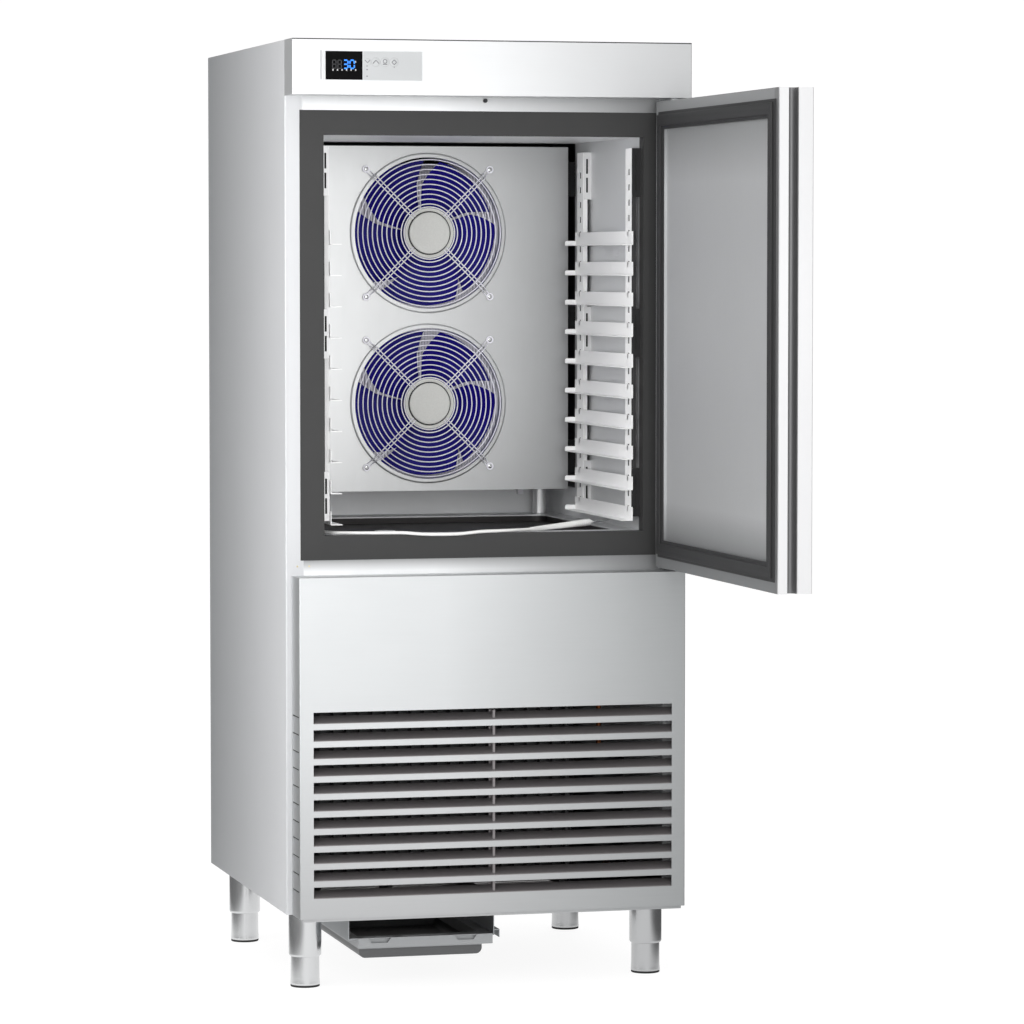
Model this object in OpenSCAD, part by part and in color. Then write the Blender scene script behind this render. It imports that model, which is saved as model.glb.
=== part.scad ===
// Upright blast chiller for ten trays: an insulated chamber with a hinged door and two fans,
// over a compartment with the condensing unit, on four adjustable legs.
// Origin on the floor at the centre of the four feet. X right, Y back, Z up. Millimetres.

/* [Cabinet] */
// Width over the side panels
body_w = 790; // [740:1:860]
// Depth of the side panels, without what stands in front of them
body_d = 777; // [750:1:860]
// Height of the machine compartment
machine_h = 655; // [620:1:760]
// Height of the steel sill under the door frame
sill_h = 29; // [26:1:50]
// Height of the steel head over the door frame
head_h = 27; // [26:1:50]
// Width of the steel stile beside the door frame
stile_w = 29; // [26:1:40]
// Height of the fascia
fascia_h = 106; // [100:1:160]
// How far the fascia, the door and the lower panel stand in front of the cabinet
front_d = 73; // [70:1:90]
// Thickness of the outer steel sheet
sheet_t = 1.5; // [1:0.1:2]
// Outside radius of the sheet's folds
bend_r = 2; // [2:0.1:3]
// Width of the flange at the rear of each side panel
rear_flange = 20; // [12:1:40]
// Height of the cover on top of the cabinet
cover_h = 3.5; // [2.5:0.1:8]
// Distance of that cover from the cabinet's sides
cover_in = 43; // [20:1:80]

/* [Door frame] */
// Width of the dark band round the opening
frame_w = 47; // [44:1:60]
// Depth of the frame behind the cabinet's front plane
frame_d = 24; // [16:1:40]
// Overlap of the frame's lip on the steel round it
frame_lap = 6; // [4:1:9]
// Thickness of that lip
frame_lip = 1; // [0.8:0.1:1.2]

/* [Chamber] */
// Height of the opening and of the chamber
chamber_h = 769; // [760:1:830]
// Depth of the chamber from the cabinet's front plane
chamber_d = 690; // [680:1:710]
// Thickness of the chamber's lining sheet
liner_t = 1.2; // [0.8:0.1:2]
// Radius of the chamber's rear corners
corner_r = 20; // [10:1:24]
// Depth of the pan pressed into the floor
pan_depth = 14; // [8:1:20]
// Distance of the pan from the side walls
pan_side = 39; // [30:1:60]
// Distance of the pan from the cabinet's front plane
pan_front = 60; // [50:1:100]
// Distance of the pan from the back wall
pan_rear = 90; // [80:1:120]
// Radius of the pan's corners
pan_r = 25; // [15:1:40]
// Outside diameter of the drain pipe
drain_d = 28; // [20:1:34]
// Wall of the drain pipe
drain_t = 2; // [1.5:0.1:3]

/* [Fan baffle] */
// Distance of the baffle from the cabinet's front plane
baffle_y = 470; // [462:1:480]
// Thickness of the baffle's sheet
baffle_t = 1.2; // [1:0.1:2]
// Gap between the baffle and each side wall
baffle_side = 23; // [16:1:30]
// Gap between the baffle and the ceiling
baffle_top = 8; // [6:1:20]
// Gap between the baffle and the floor
baffle_low = 60; // [40:1:70]
// Depth of the baffle's folded edges
baffle_fold = 25; // [15:1:40]
// Height of the lower fan's axis as a share of the chamber's height
fan_low_share = 0.3095; // [0.3:0.0005:0.318]
// Height of the upper fan's axis as a share of the chamber's height
fan_high_share = 0.7605; // [0.755:0.0005:0.77]
// Radius of the fan openings as a share of the chamber's height
fan_share = 0.2; // [0.196:0.0005:0.203]
// Width of the rolled collar round each opening
collar_w = 9; // [6:0.5:10]
// Height of that collar in front of the baffle
collar_h = 6; // [4:0.5:7]

/* [Fan guard] */
// Number of wire rings between the hub ring and the collar
guard_rings = 10; // [6:1:10]
// Gap between the largest ring and the edge of the fan opening
guard_edge = 4.8; // [4:0.1:8]
// Radius of the smallest of these rings
guard_r0 = 59; // [57:1:60]
// Diameter of the wire
guard_wire = 2.4; // [2:0.1:3]
// Distance of the rings in front of the baffle
guard_stand = 13; // [12:0.5:18]
// Distance between the two wires of an arm
arm_gap = 6.6; // [6:0.1:8]
// Distance of the arms' screws from the edge of the fan opening
guard_reach = 29.2; // [26:0.1:36]

/* [Fans] */
// Number of blades
blades = 5; // [4:1:5]
// Gap between the blade tips and the edge of the fan opening
tip_gap = 5.8; // [4:0.1:24]
// Thickness of a blade
blade_t = 2; // [1.5:0.1:3]
// Radius of the curve that the blades are rolled to
camber_r = 220; // [200:5:260]
// Pitch angle of the blades
blade_pitch = 14; // [8:1:16]
// Radius of the rotor's can
can_r = 46; // [45:1:48]
// Radius of the motor's body
motor_r = 38; // [32:1:40]
// Length of the motor's body behind its flange
motor_l = 49; // [46:1:52]
// Radius of the motor's flange
motor_flange_r = 51; // [48:0.5:51]
// Radius of the motor's front cap
motor_cap_r = 42; // [36:1:43]
// Radius of the motor's shaft
shaft_r = 5; // [4:0.5:8]
// Running clearance of the shaft
shaft_clear = 0.05; // [0.02:0.01:0.08]

/* [Evaporator] */
// Width of the finned block
coil_w = 500; // [460:1:520]
// Depth of the finned block
coil_d = 92; // [70:1:100]
// Distance of the finned block from floor and ceiling
coil_rim = 39.5; // [34:0.5:64]
// Gap between the baffle and the block
coil_gap = 77; // [75:1:90]
// Radius of the tubes' return bends
bend_pipe_r = 14; // [10:1:16]
// Number of return bends at each end
coil_bends = 9; // [5:1:10]

/* [Tray racks] */
// Number of tray levels
levels = 10; // [8:1:10]
// Distance between levels
level_pitch = 60; // [60:30:60]
// Height of the lowest level above the floor
level_low = 19; // [17:1:24]
// Length of a tray slide
slide_l = 419; // [415:1:424]
// Height of the slide's web
slide_web = 27; // [20:1:34]
// Width of the slide's flange
slide_flange = 23; // [18:1:30]
// Thickness of the slide's sheet
slide_t = 1.5; // [1:0.1:2]
// Distance between the wall and the face that the slides lie on
rack_d = 16; // [14:0.5:20]
// Width of an upright
upright_w = 45; // [40:1:50]
// Depth of an upright
upright_d = 9; // [8:0.5:10]
// Thickness of an upright's sheet
upright_t = 1.5; // [1.2:0.1:2]
// Distance of the uprights' tops below the ceiling
upright_up = 21; // [18:1:40]
// Height of the uprights' feet above the floor
upright_low = 27; // [24:1:30]
// Distance of the front uprights from the cabinet's front plane
upright_front = 26; // [25:1:30]
// Distance of the rear uprights from that plane
upright_rear = 380; // [370:1:384]
// Side of the square slots in the uprights
slot_w = 12; // [10:0.5:14]
// Distance between slots
slot_pitch = 30; // [30:1:30]
// Thickness of the wall brackets
bracket_t = 3; // [2:0.1:4]

/* [Door] */
// Gap under the door
door_low = 8; // [8:0.5:12]
// Gap over the door
door_up = 7; // [7:0.5:12]
// Distance of the door's edges from the cabinet's sides
door_side = 11; // [8:0.5:13]
// Gap between the shut door and the cabinet's front plane
door_clear = 9; // [9:0.5:12]
// Thickness of the door's sheets
door_sheet = 1.2; // [0.8:0.1:2]
// Width of the grip profile along the free edge
grip_w = 30; // [28:1:50]
// Width of the finger groove in that profile
groove_w = 19; // [16:0.5:24]
// Depth of the finger groove
groove_d = 20; // [16:0.5:24]
// Distance of the groove from the door's inner face
groove_in = 17; // [12:0.5:20]
// Distance of the gasket from the door's edges
gasket_in = 20; // [18:0.5:22]
// Width of the gasket
gasket_w = 34; // [28:0.5:36]
// Width of its magnetic bulb
bulb_w = 22; // [16:0.5:26]
// Gap between the gasket and the frame when the door is shut
gasket_clear = 0.3; // [0.2:0.1:0.5]
// Depth of the step in the door's inner panel
inner_step = 5; // [3:0.5:8]
// Distance of the hinge axis from the cabinet's side
pivot_side = 24; // [22:0.5:26]
// Distance of the hinge axis from the door's outer face
pivot_in = 29; // [27:0.5:31]
// Angle at which the door stands open
door_angle = 90; // [0:5:110]

/* [Hinges] */
// Radius of the hinge pins
pin_r = 6; // [4:0.5:7]
// Running clearance of the pins
pin_clear = 0.05; // [0.02:0.01:0.08]
// Length of pin inside the door
pin_l = 26; // [18:1:40]
// Radius of the bushes in the door
bush_r = 10; // [9:0.5:11]
// Thickness of the hinge plates
hinge_t = 4; // [3:0.5:5]
// Thickness of the hinge flanges on the cabinet
hinge_flange_t = 3; // [2:0.5:4]
// Width of the hinge plates
hinge_w = 40; // [34:1:42]

/* [Controller] */
// Width of the controller's face
ctrl_w = 195; // [190:1:230]
// Height of the controller's face
ctrl_h = 56; // [50:1:64]
// Distance of the controller from the left side
ctrl_in = 58; // [30:1:120]
// Height of the controller above the fascia's lower edge
ctrl_low = 27; // [18:1:34]
// Thickness of the controller's rim in front of the fascia
ctrl_rim = 1.6; // [1.4:0.1:3]
// Depth of the controller's housing
ctrl_d = 44; // [30:1:60]
// Width of the display window
window_w = 72; // [60:1:90]
// Width of the strip left of the display window
window_in = 6; // [4:1:12]
// Thickness of the window and of the keypad film
film_t = 0.8; // [0.6:0.1:1]

/* [Lower panel] */
// Number of louvres
louvres = 11; // [6:1:11]
// Distance between louvres
louvre_pitch = 33.6; // [32:0.1:36]
// Height of a louvre opening
louvre_open = 22; // [18:0.5:24]
// Height of the lowest opening above the panel's lower edge
louvre_low = 39.5; // [30:0.5:60]
// Distance of the openings from the panel's edges
louvre_in = 27; // [20:0.5:40]
// Height of the hem under the panel's lower edge
hem_h = 6; // [3:0.5:12]
// Distance of the hem from the panel's front and sides
hem_in = 6; // [4:0.5:12]
// Depth of the louvre blades
louvre_d = 20; // [14:0.5:26]
// Length of the slots in the panel's sides
side_slot_l = 60; // [40:1:62]
// Height of the slots in the panel's sides
side_slot_h = 2.6; // [2:0.1:5]
// Width of the stiffener behind the louvres
stiffener_w = 12; // [8:1:20]

/* [Legs] */
// Height of the cabinet above the floor
leg_h = 150; // [150:1:190]
// Diameter of the upper leg tube
leg_d = 64; // [62:1:72]
// Distance of the legs from the cabinet's sides
leg_side_in = 50; // [45:1:80]
// Distance of the front legs from the cabinet's front plane
leg_front_in = 67; // [50:1:90]
// Distance of the rear legs from the cabinet's back
leg_rear_in = 110; // [60:1:120]
// Length of the upper leg tube
sleeve_l = 90; // [88:1:92]
// Diameter of the foot
foot_d = 56; // [50:0.5:58]
// Radius of the foot's threaded stem
stem_r = 8; // [6:0.5:10]
// Thickness of the rubber pad
pad_h = 4; // [3:0.5:8]

/* [Condensate tray] */
// Width of the tray's basin
tray_w = 246; // [200:1:280]
// Length of the tray, front to back
tray_l = 400; // [300:1:420]
// Depth of the tray's basin
tray_h = 38; // [30:1:44]
// Distance of the basin's left side from the cabinet's middle
tray_x = 246; // [230:1:270]
// Distance of the tray behind the cabinet's front plane
tray_front = 20; // [10:1:40]
// Distance of the tray's rim below the cabinet
tray_drop = 56; // [50:1:60]
// Thickness of the tray's sheet
tray_t = 1.5; // [1:0.1:2]
// Width of the tray's side rims
tray_rim = 20; // [14:1:24]

/* [Condensing unit] */
// Width of the condenser
cond_w = 500; // [420:1:520]
// Height of the condenser
cond_h = 380; // [360:1:400]
// Thickness of the condenser
cond_d = 60; // [40:1:80]
// Radius of the compressor's shell
comp_r = 105; // [90:1:110]
// Height of the compressor's shell
comp_h = 300; // [240:1:340]
// Radius of the liquid receiver
receiver_r = 50; // [40:1:55]
// Height of the liquid receiver
receiver_h = 280; // [220:1:320]
// Radius of the suction pipe
suction_r = 8; // [6:0.5:9]
// Radius of the liquid pipe
liquid_r = 5; // [4:0.5:6]

/* [Core probe] */
// Diameter of the probe's cable
cable_d = 6.4; // [5:0.1:7]
// Radius of the handle's wide end
probe_r = 7; // [6:0.5:8]
// Length of the needle
needle_l = 46; // [30:1:50]
// Radius of the needle
needle_r = 1.6; // [1.2:0.1:2.5]

/* [Hidden] */

$fn = 48;
eps = 0.01;       // overlap that lets two shapes of one piece fuse
seat = 0.3;       // gap at which a loose piece lies on its seat

half = body_w / 2;
foot_x = half - leg_side_in;
foot_y = (body_d - leg_front_in - leg_rear_in) / 2;
fy = -foot_y - leg_front_in;      // the cabinet's front plane
by = fy + body_d;                 // the cabinet's back plane
front = fy - front_d;             // the plane of fascia, shut door and lower panel

z_cab = leg_h;
z_sill = z_cab + machine_h;
z_frame = z_sill + sill_h;
z_in = z_frame + frame_w;
z_ceil = z_in + chamber_h;
z_frame_top = z_ceil + frame_w;
z_head = z_frame_top + head_h;
z_top = z_head + fascia_h;

x_frame = half - stile_w;
x_seam = x_frame - frame_lap;
x_in = x_frame - frame_w;
x_side = half - sheet_t;
rail_d = frame_d + 1;             // depth of the folds of the sill and the head
y_panel = by - 2 * sheet_t;       // front face of the rear panel
y_wall = fy + chamber_d;
y_baffle = fy + baffle_y;
y_coil = y_baffle + coil_gap;

fan_hole_r = fan_share * chamber_h;
rotor_r = fan_hole_r - tip_gap;
guard_screw_r = fan_hole_r + guard_reach;
guard_pitch = (fan_hole_r - guard_edge - guard_r0) / (guard_rings - 1);
coil_h = chamber_h - 2 * coil_rim;
upright_h = chamber_h - upright_low - upright_up;

silver = "#c9cbcc";
steel = "#b4b6b8";
dark = "#4a4a4a";
pale = "#e6e7e7";
copper = "#b87347";

// ---- helpers ----

// Box between two opposite corners
module block(lo, hi) {
  translate(lo) cube(hi - lo);
}

// Rectangle between two opposite corners, all four corners rounded
module rounded_2d(lo, hi, r) {
  size = hi - lo;
  translate([lo[0] + r, lo[1]]) square([size[0] - 2 * r, size[1]]);
  translate([lo[0], lo[1] + r]) square([size[0], size[1] - 2 * r]);
  for (x = [lo[0] + r, hi[0] - r], y = [lo[1] + r, hi[1] - r]) translate([x, y]) circle(r);
}

// Rectangle with only the two corners on its low-Y side rounded
module front_rounded_2d(lo, hi, r) {
  size = hi - lo;
  translate([lo[0] + r, lo[1]]) square([size[0] - 2 * r, size[1]]);
  translate([lo[0], lo[1] + r]) square([size[0], size[1] - r]);
  for (x = [lo[0] + r, hi[0] - r]) translate([x, lo[1] + r]) circle(r);
}

// Extrusion of a plan outline between two heights
module between(z0, z1) {
  translate([0, 0, z0]) linear_extrude(z1 - z0) children();
}

// Turns local Z to point back (+Y), at a point
module facing_back(p) {
  translate(p) rotate([-90, 0, 0]) children();
}

// Turns local Z to point to the front (-Y), at a point
module facing_front(p) {
  translate(p) rotate([90, 0, 0]) children();
}

// Places a child on both sides of the cabinet's middle
module both_sides() {
  children();
  mirror([1, 0, 0]) children();
}

// Straight round bar between two points
module bar(a, b, r) {
  d = b - a;
  translate(a) rotate([0, acos(d[2] / norm(d)), atan2(d[1], d[0])]) cylinder(h = norm(d), r = r);
}

// Pipe along a list of corners, with a soldered elbow at each
module pipe(points, r) {
  for (i = [0 : len(points) - 2]) bar(points[i], points[i + 1], r);
  for (i = [1 : len(points) - 2]) translate(points[i]) sphere(r + 0.7);
}

// ---- cabinet ----

// One steel side: a web folded inwards along its front and its rear edge
module side_panel() {
  between(z_cab, z_top) difference() {
    rounded_2d([-half, fy], [0, by], bend_r);
    translate([-x_side, fy + sheet_t]) square([half, body_d - 2 * sheet_t]);
    translate([-x_seam, fy - 1]) square([half, body_d / 2]);
    translate([-half + rear_flange, fy + body_d / 2 - 2]) square([half, body_d]);
  }
}

module left_side_panel() {
  color(steel) difference() {
    side_panel();
    hinge_hole(-half + (half - x_seam) * 0.65);
  }
}

module right_side_panel() {
  color(steel) mirror([1, 0, 0]) side_panel();
}

// Blind-riveted hole for a hinge on the other hand
module hinge_hole(x) {
  facing_back([x, fy - 1, z_sill + sill_h * 0.62]) cylinder(h = sheet_t + 2, r = 1.8);
}

module rear_panel() {
  color(steel) difference() {
    block([-x_side, y_panel, z_sill], [x_side, by - sheet_t, z_top - sheet_t]);
    for (i = [-2 : 2]) block([60 * i - 20, y_panel - 1, z_head + fascia_h * 0.45],
                             [60 * i + 20, by, z_head + fascia_h * 0.45 + 5]);
  }
}

// Removable rear cover of the machine compartment, with rows of air slots
module rear_grille() {
  slot_l = body_w / 5;
  color(steel) difference() {
    block([-x_side, y_panel, z_cab], [x_side, by - sheet_t, z_sill]);
    for (row = [0 : 11], col = [-1 : 1])
      block([col * slot_l * 1.2 - slot_l / 2, y_panel - 1, z_cab + machine_h * 0.3 + 26 * row],
            [col * slot_l * 1.2 + slot_l / 2, by, z_cab + machine_h * 0.3 + 26 * row + 9]);
  }
}

module top_panel() {
  color(steel) block([-x_side, fy + sheet_t, z_top - sheet_t], [x_side, by - sheet_t, z_top]);
}

// Shallow folded cover that lies on the top
module top_cover() {
  color(silver) difference() {
    block([-half + cover_in, fy, z_top], [half - cover_in, by - cover_in, z_top + cover_h]);
    block([-half + cover_in + sheet_t, fy + sheet_t, z_top - 1],
          [half - cover_in - sheet_t, by - cover_in - sheet_t, z_top + cover_h - sheet_t]);
  }
}

// Floor of the machine compartment, folded up at its edges, with an air cut-out and the drain's hole
module base_pan() {
  rim_h = 30;
  color(steel) difference() {
    block([-x_side, fy + sheet_t, z_cab], [x_side, y_panel, z_cab + rim_h]);
    block([-x_side + sheet_t, fy + 2 * sheet_t, z_cab + sheet_t],
          [x_side - sheet_t, y_panel - sheet_t, z_cab + rim_h + 1]);
    translate([drain_x, drain_y, z_cab - 1]) cylinder(h = rim_h, r = drain_d / 2 + seat);
    for (i = [0 : 6]) block([60, fy + 250 + 24 * i, z_cab - 1], [220, fy + 262 + 24 * i, z_cab + 5]);
  }
}

// Steel strips under and over the door frame, their outer edges folded back
module front_rails() {
  color(silver) difference() {
    union() {
      block([-x_seam, fy, z_sill], [x_seam, fy + sheet_t, z_frame + frame_lap]);
      block([-x_seam, fy, z_sill], [x_seam, fy + rail_d, z_sill + sheet_t]);
      block([-x_seam, fy, z_frame_top - frame_lap], [x_seam, fy + sheet_t, z_head]);
      block([-x_seam, fy, z_head - sheet_t], [x_seam, fy + rail_d, z_head]);
    }
    hinge_hole(-x_seam + 11);
    facing_back([0, fy - 1, sensor_z]) cylinder(h = 4, r = sensor_r + shaft_clear);
  }
}

// Plastic frame round the opening: a body that bridges cold and warm steel, and a lip over the joint
module door_frame() {
  color(dark) difference() {
    union() {
      block([-x_frame, fy - frame_lip, z_frame], [x_frame, fy, z_frame_top]);
      frame_body();
    }
    block([-x_in, fy - 5, z_in], [x_in, fy + frame_d + 5, z_ceil]);
    // groove for the heating cord behind the sealing face
    difference() {
      block([-x_in - 30, fy + frame_d - 6, z_in - 30], [x_in + 30, fy + frame_d + 1, z_ceil + 30]);
      block([-x_in - 22, fy, z_in - 22], [x_in + 22, fy + frame_d + 2, z_ceil + 22]);
    }
  }
}

module frame_body() {
  block([-x_seam, fy + sheet_t, z_frame + frame_lap], [x_seam, fy + frame_d, z_frame_top - frame_lap]);
  block([-x_seam + eps, fy - eps, z_frame + frame_lap + eps],
        [x_seam - eps, fy + sheet_t + eps, z_frame_top - frame_lap - eps]);
}

// ---- insulated cell ----

drain_x = -tray_x + tray_w / 2;
drain_y = fy + tray_front + tray_l * 0.775;
suction = [x_in - 34, y_wall - 35]; // plan position of the suction pipe
liquid = [x_in - 19, y_wall - 18]; // plan position of the liquid pipe

// Inside of the chamber, grown on all sides by the thickness of a skin
module chamber_space(grow) {
  r = corner_r + grow;
  between(z_in - grow, z_ceil + grow) mirror([0, 1, 0])
    front_rounded_2d([-x_in - grow, -y_wall - grow], [x_in + grow, -fy - frame_d], r);
  between(z_in - pan_depth - grow, z_in)
    rounded_2d([-x_in + pan_side - grow, fy + pan_front - grow],
               [x_in - pan_side + grow, y_wall - pan_rear + grow], pan_r + grow);
}

// Holes that the drain and the two refrigerant pipes need through the cell's floor
module cell_passages() {
  translate([drain_x, drain_y, z_sill - 5]) cylinder(h = 90, r = drain_d / 2);
  translate([suction[0], suction[1], z_sill - 5]) cylinder(h = 90, r = suction_r + seat);
  translate([liquid[0], liquid[1], z_sill - 5]) cylinder(h = 90, r = liquid_r + seat);
}

// Plates under and over the foam, with notches for the rails' folds
module cell_plates() {
  color(steel) for (z = [z_sill, z_head - sheet_t]) difference() {
    block([-x_side, fy + sheet_t, z], [x_side, y_panel, z + sheet_t]);
    block([-x_seam, fy, z - 1], [x_seam, fy + rail_d, z + 5]);
    cell_passages();
  }
}

// Foam between the chamber's lining and the outer sheets
module insulation() {
  color("#e8d9a0") difference() {
    block([-x_side, fy + sheet_t, z_sill + sheet_t], [x_side, y_panel, z_head - sheet_t]);
    chamber_space(liner_t);
    block([-x_seam, fy, z_frame + frame_lap], [x_seam, fy + frame_d, z_frame_top - frame_lap]);
    cell_passages();
    facing_back([0, fy, sensor_z]) cylinder(h = sensor_l + 1, r = sensor_r + 1);
    gland_hole(shank_r + seat);
  }
}

// Welded lining of the chamber with a pressed pan in its floor
module chamber_liner() {
  color(silver) difference() {
    chamber_space(liner_t);
    chamber_space(0);
    cell_passages();
    gland_hole(shank_r + seat);
  }
}

// Drain: a flanged tube from the pan down to the condensate tray
module drain_pipe() {
  pan_z = z_in - pan_depth;
  color("#d8d8d8") translate([drain_x, drain_y, 0]) difference() {
    union() {
      translate([0, 0, z_cab - tray_drop + 12]) cylinder(h = pan_z - z_cab + tray_drop - 12, r = drain_d / 2);
      translate([0, 0, pan_z]) cylinder(h = 2, r = drain_d / 2 + 7);
    }
    cylinder(h = pan_z + 10, r = drain_d / 2 - drain_t);
  }
}

// ---- fascia and controller ----

ctrl_x = -half + ctrl_in;
ctrl_z = z_head + ctrl_low;
ctrl_edge = 5;                    // overlap of the controller's rim on the fascia

module fascia() {
  color(pale) difference() {
    between(z_head, z_top) front_rounded_2d([-half, front], [half, fy], bend_r);
    block([-x_side, front + sheet_t, z_head + sheet_t], [x_side, fy + 1, z_top - sheet_t]);
    block([ctrl_x + ctrl_edge, front - 1, ctrl_z + ctrl_edge],
          [ctrl_x + ctrl_w - ctrl_edge, front + 5, ctrl_z + ctrl_h - ctrl_edge]);
  }
}

window_x = ctrl_x + window_in;
keypad_x = window_x + window_w + 1;

// Controller: a rim on the fascia, a housing behind it, and shallow seats for window and keypad
module controller_housing() {
  color("#d9dadb") difference() {
    union() {
      block([ctrl_x, front - ctrl_rim, ctrl_z], [ctrl_x + ctrl_w, front, ctrl_z + ctrl_h]);
      block([ctrl_x + ctrl_edge, front - eps, ctrl_z + ctrl_edge],
            [ctrl_x + ctrl_w - ctrl_edge, front + ctrl_d, ctrl_z + ctrl_h - ctrl_edge]);
    }
    block([window_x, front - ctrl_rim - 1, ctrl_z + 1],
          [window_x + window_w, front - ctrl_rim + film_t, ctrl_z + ctrl_h - 1]);
    block([keypad_x, front - ctrl_rim - 1, ctrl_z + 1],
          [ctrl_x + ctrl_w - 1, front - ctrl_rim + film_t, ctrl_z + ctrl_h - 1]);
  }
}

module display_window() {
  color("#050608") block([window_x, front - ctrl_rim, ctrl_z + 1],
                         [window_x + window_w, front - ctrl_rim + film_t, ctrl_z + ctrl_h - 1]);
}

// Keypad film with six domed membrane keys
module keypad_film() {
  color("#d0d2d4") {
    block([keypad_x, front - ctrl_rim, ctrl_z + 1],
          [ctrl_x + ctrl_w - 1, front - ctrl_rim + film_t, ctrl_z + ctrl_h - 1]);
    for (col = [0 : 2], row = [0 : 1])
      facing_front([keypad_x + 20 + 24 * col, front - ctrl_rim + eps, ctrl_z + ctrl_h / 2 + 12 - 20 * row])
        cylinder(h = 0.4, r1 = 7, r2 = 5.5);
  }
}

// Tray behind the fascia with the power board, its relays and a transformer
module electrical_box() {
  box = [body_w * 0.33, body_d * 0.31, fascia_h * 0.66];
  origin = [half - box[0] - 70, fy + 60, z_head];
  color("#9a9c9e") translate(origin) {
    difference() {
      cube(box);
      translate([2, 2, 2]) cube(box - [4, 4, 0]);
    }
  }
  color("#2d6b45") translate(origin + [20, 20, 2 - eps]) cube([160, 120, 8]);
  color("#303030") for (i = [0 : 4]) translate(origin + [30 + 28 * i, 30, 10 - 2 * eps]) cube([20, 28, 18]);
  color("#8c8c8c") translate(origin + [60, 160, 2 - eps]) cube([70, 58, 50]);
}

// ---- lower panel ----

panel_x = half - door_side;

function louvre_z(i) = z_cab + louvre_low + louvre_pitch * i;

// Folded steel panel with louvre openings in front and thin air slots in its sides
module lower_panel() {
  color(silver) difference() {
    between(z_cab, z_sill) front_rounded_2d([-panel_x, front], [panel_x, fy], bend_r);
    block([-panel_x + sheet_t, front + sheet_t, z_cab + sheet_t],
          [panel_x - sheet_t, fy + 1, z_sill - sheet_t]);
    block([-panel_x + 30, front + 25, z_cab - 1], [panel_x - 30, fy + 1, z_cab + sheet_t + 1]);
    for (i = [0 : louvres - 1]) {
      block([-panel_x + louvre_in, front - 1, louvre_z(i)],
            [panel_x - louvre_in, front + 5, louvre_z(i) + louvre_open]);
      block([-panel_x - 1, fy - 5 - side_slot_l, louvre_z(i) + louvre_open / 2],
            [panel_x + 1, fy - 5, louvre_z(i) + louvre_open / 2 + side_slot_h]);
    }
  }
  color(silver) block([-panel_x + hem_in, front + hem_in, z_cab - hem_h],
                      [panel_x - hem_in, front + hem_in + sheet_t, z_cab + sheet_t / 2]);
}

// Louvre blades: each a strip on the panel's back that rises inwards, tied by one stiffener
module louvre_blades() {
  t = 1.2;
  rise = louvre_open * 0.62;
  length = 2 * (panel_x - louvre_in) + 16;
  y0 = front + sheet_t;
  color("#8d8d8f") union() {
    for (i = [0 : louvres - 1]) translate([-length / 2, y0, louvre_z(i)]) rotate([90, 0, 90])
      linear_extrude(length) polygon([
        [0, -7], [t, -7], [t, -0.6], [louvre_d, rise - 1.6], [louvre_d, rise], [0, 0.8]
      ]);
    block([-stiffener_w / 2, y0 + louvre_d - eps, z_cab + louvre_low - 7],
          [stiffener_w / 2, y0 + louvre_d + 2, louvre_z(louvres - 1) + rise + 4]);
  }
}

// ---- fans ----

fan_x = 0;
fan_z = [z_in + fan_low_share * chamber_h, z_in + fan_high_share * chamber_h];   // lower and upper axis
hub_ring_r = motor_flange_r + 2;
arm_z = -guard_stand - guard_wire * 0.85;               // the arms are welded in front of the rings

// Sheet in front of the evaporator, folded back all round, with two rolled fan openings
module fan_baffle() {
  x = x_in - baffle_side;
  z0 = z_in + baffle_low;
  z1 = z_ceil - baffle_top;
  color(silver) difference() {
    union() {
      difference() {
        block([-x, y_baffle, z0], [x, y_baffle + baffle_fold, z1]);
        block([-x + baffle_t, y_baffle + baffle_t, z0 + baffle_t],
              [x - baffle_t, y_baffle + baffle_fold + 1, z1 - baffle_t]);
      }
      for (z = fan_z) facing_back([fan_x, y_baffle, z]) collar();
    }
    for (z = fan_z) facing_back([fan_x, y_baffle - 20, z]) cylinder(h = 60, r = fan_hole_r);
  }
}

// Rolled collar: a ring in front with a rounded brim, and a short tube behind
module collar() {
  rotate_extrude() {
    translate([fan_hole_r - 1, -collar_h + collar_w / 3]) square([collar_w + 1, collar_h - collar_w / 3 + eps]);
    translate([fan_hole_r - 1, -collar_h]) square([1 + collar_w * 2 / 3, collar_h]);
    translate([fan_hole_r + collar_w * 2 / 3, -collar_h + collar_w / 3]) circle(collar_w / 3);
    translate([fan_hole_r - 1, -eps]) square([1 + baffle_t, baffle_fold]);
  }
}

// Wire guard: rings in one plane and four two-wire arms, bent down to the baffle and closed in a loop
module fan_guard() {
  w = guard_wire / 2;
  flat_z = -w - seat;
  collar_edge = fan_hole_r + collar_w;
  union() {
    for (r = concat([hub_ring_r], [for (i = [0 : guard_rings - 1]) guard_r0 + guard_pitch * i]))
      translate([0, 0, -guard_stand]) rotate_extrude() translate([r, 0]) circle(w, $fn = 24);
    for (a = [45 : 90 : 315]) rotate(a) {
      for (s = [-1, 1]) {
        y = s * arm_gap / 2;
        pipe_bent([[motor_cap_r + 2.5, y, arm_z], [fan_hole_r + 3, y, arm_z],
                   [collar_edge + 8, y, flat_z], [guard_screw_r, y, flat_z]], w);
      }
      translate([guard_screw_r, 0, flat_z]) rotate(-90)
        rotate_extrude(angle = 180) translate([arm_gap / 2, 0]) circle(w, $fn = 24);
    }
  }
}

// Bent wire: straight runs with a round knuckle at each bend
module pipe_bent(points, r) {
  for (i = [0 : len(points) - 2]) bar(points[i], points[i + 1], r);
  for (i = [1 : len(points) - 2]) translate(points[i]) sphere(r + 0.05);
}

// Pan-head screw, its head at z = 0 upwards and its shank downwards
module screw(head_r, head_h, shank_r, shank_l) {
  cylinder(h = head_h, r1 = head_r, r2 = head_r * 0.7);
  translate([0, 0, -shank_l]) cylinder(h = shank_l + eps, r = shank_r);
}

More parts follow.
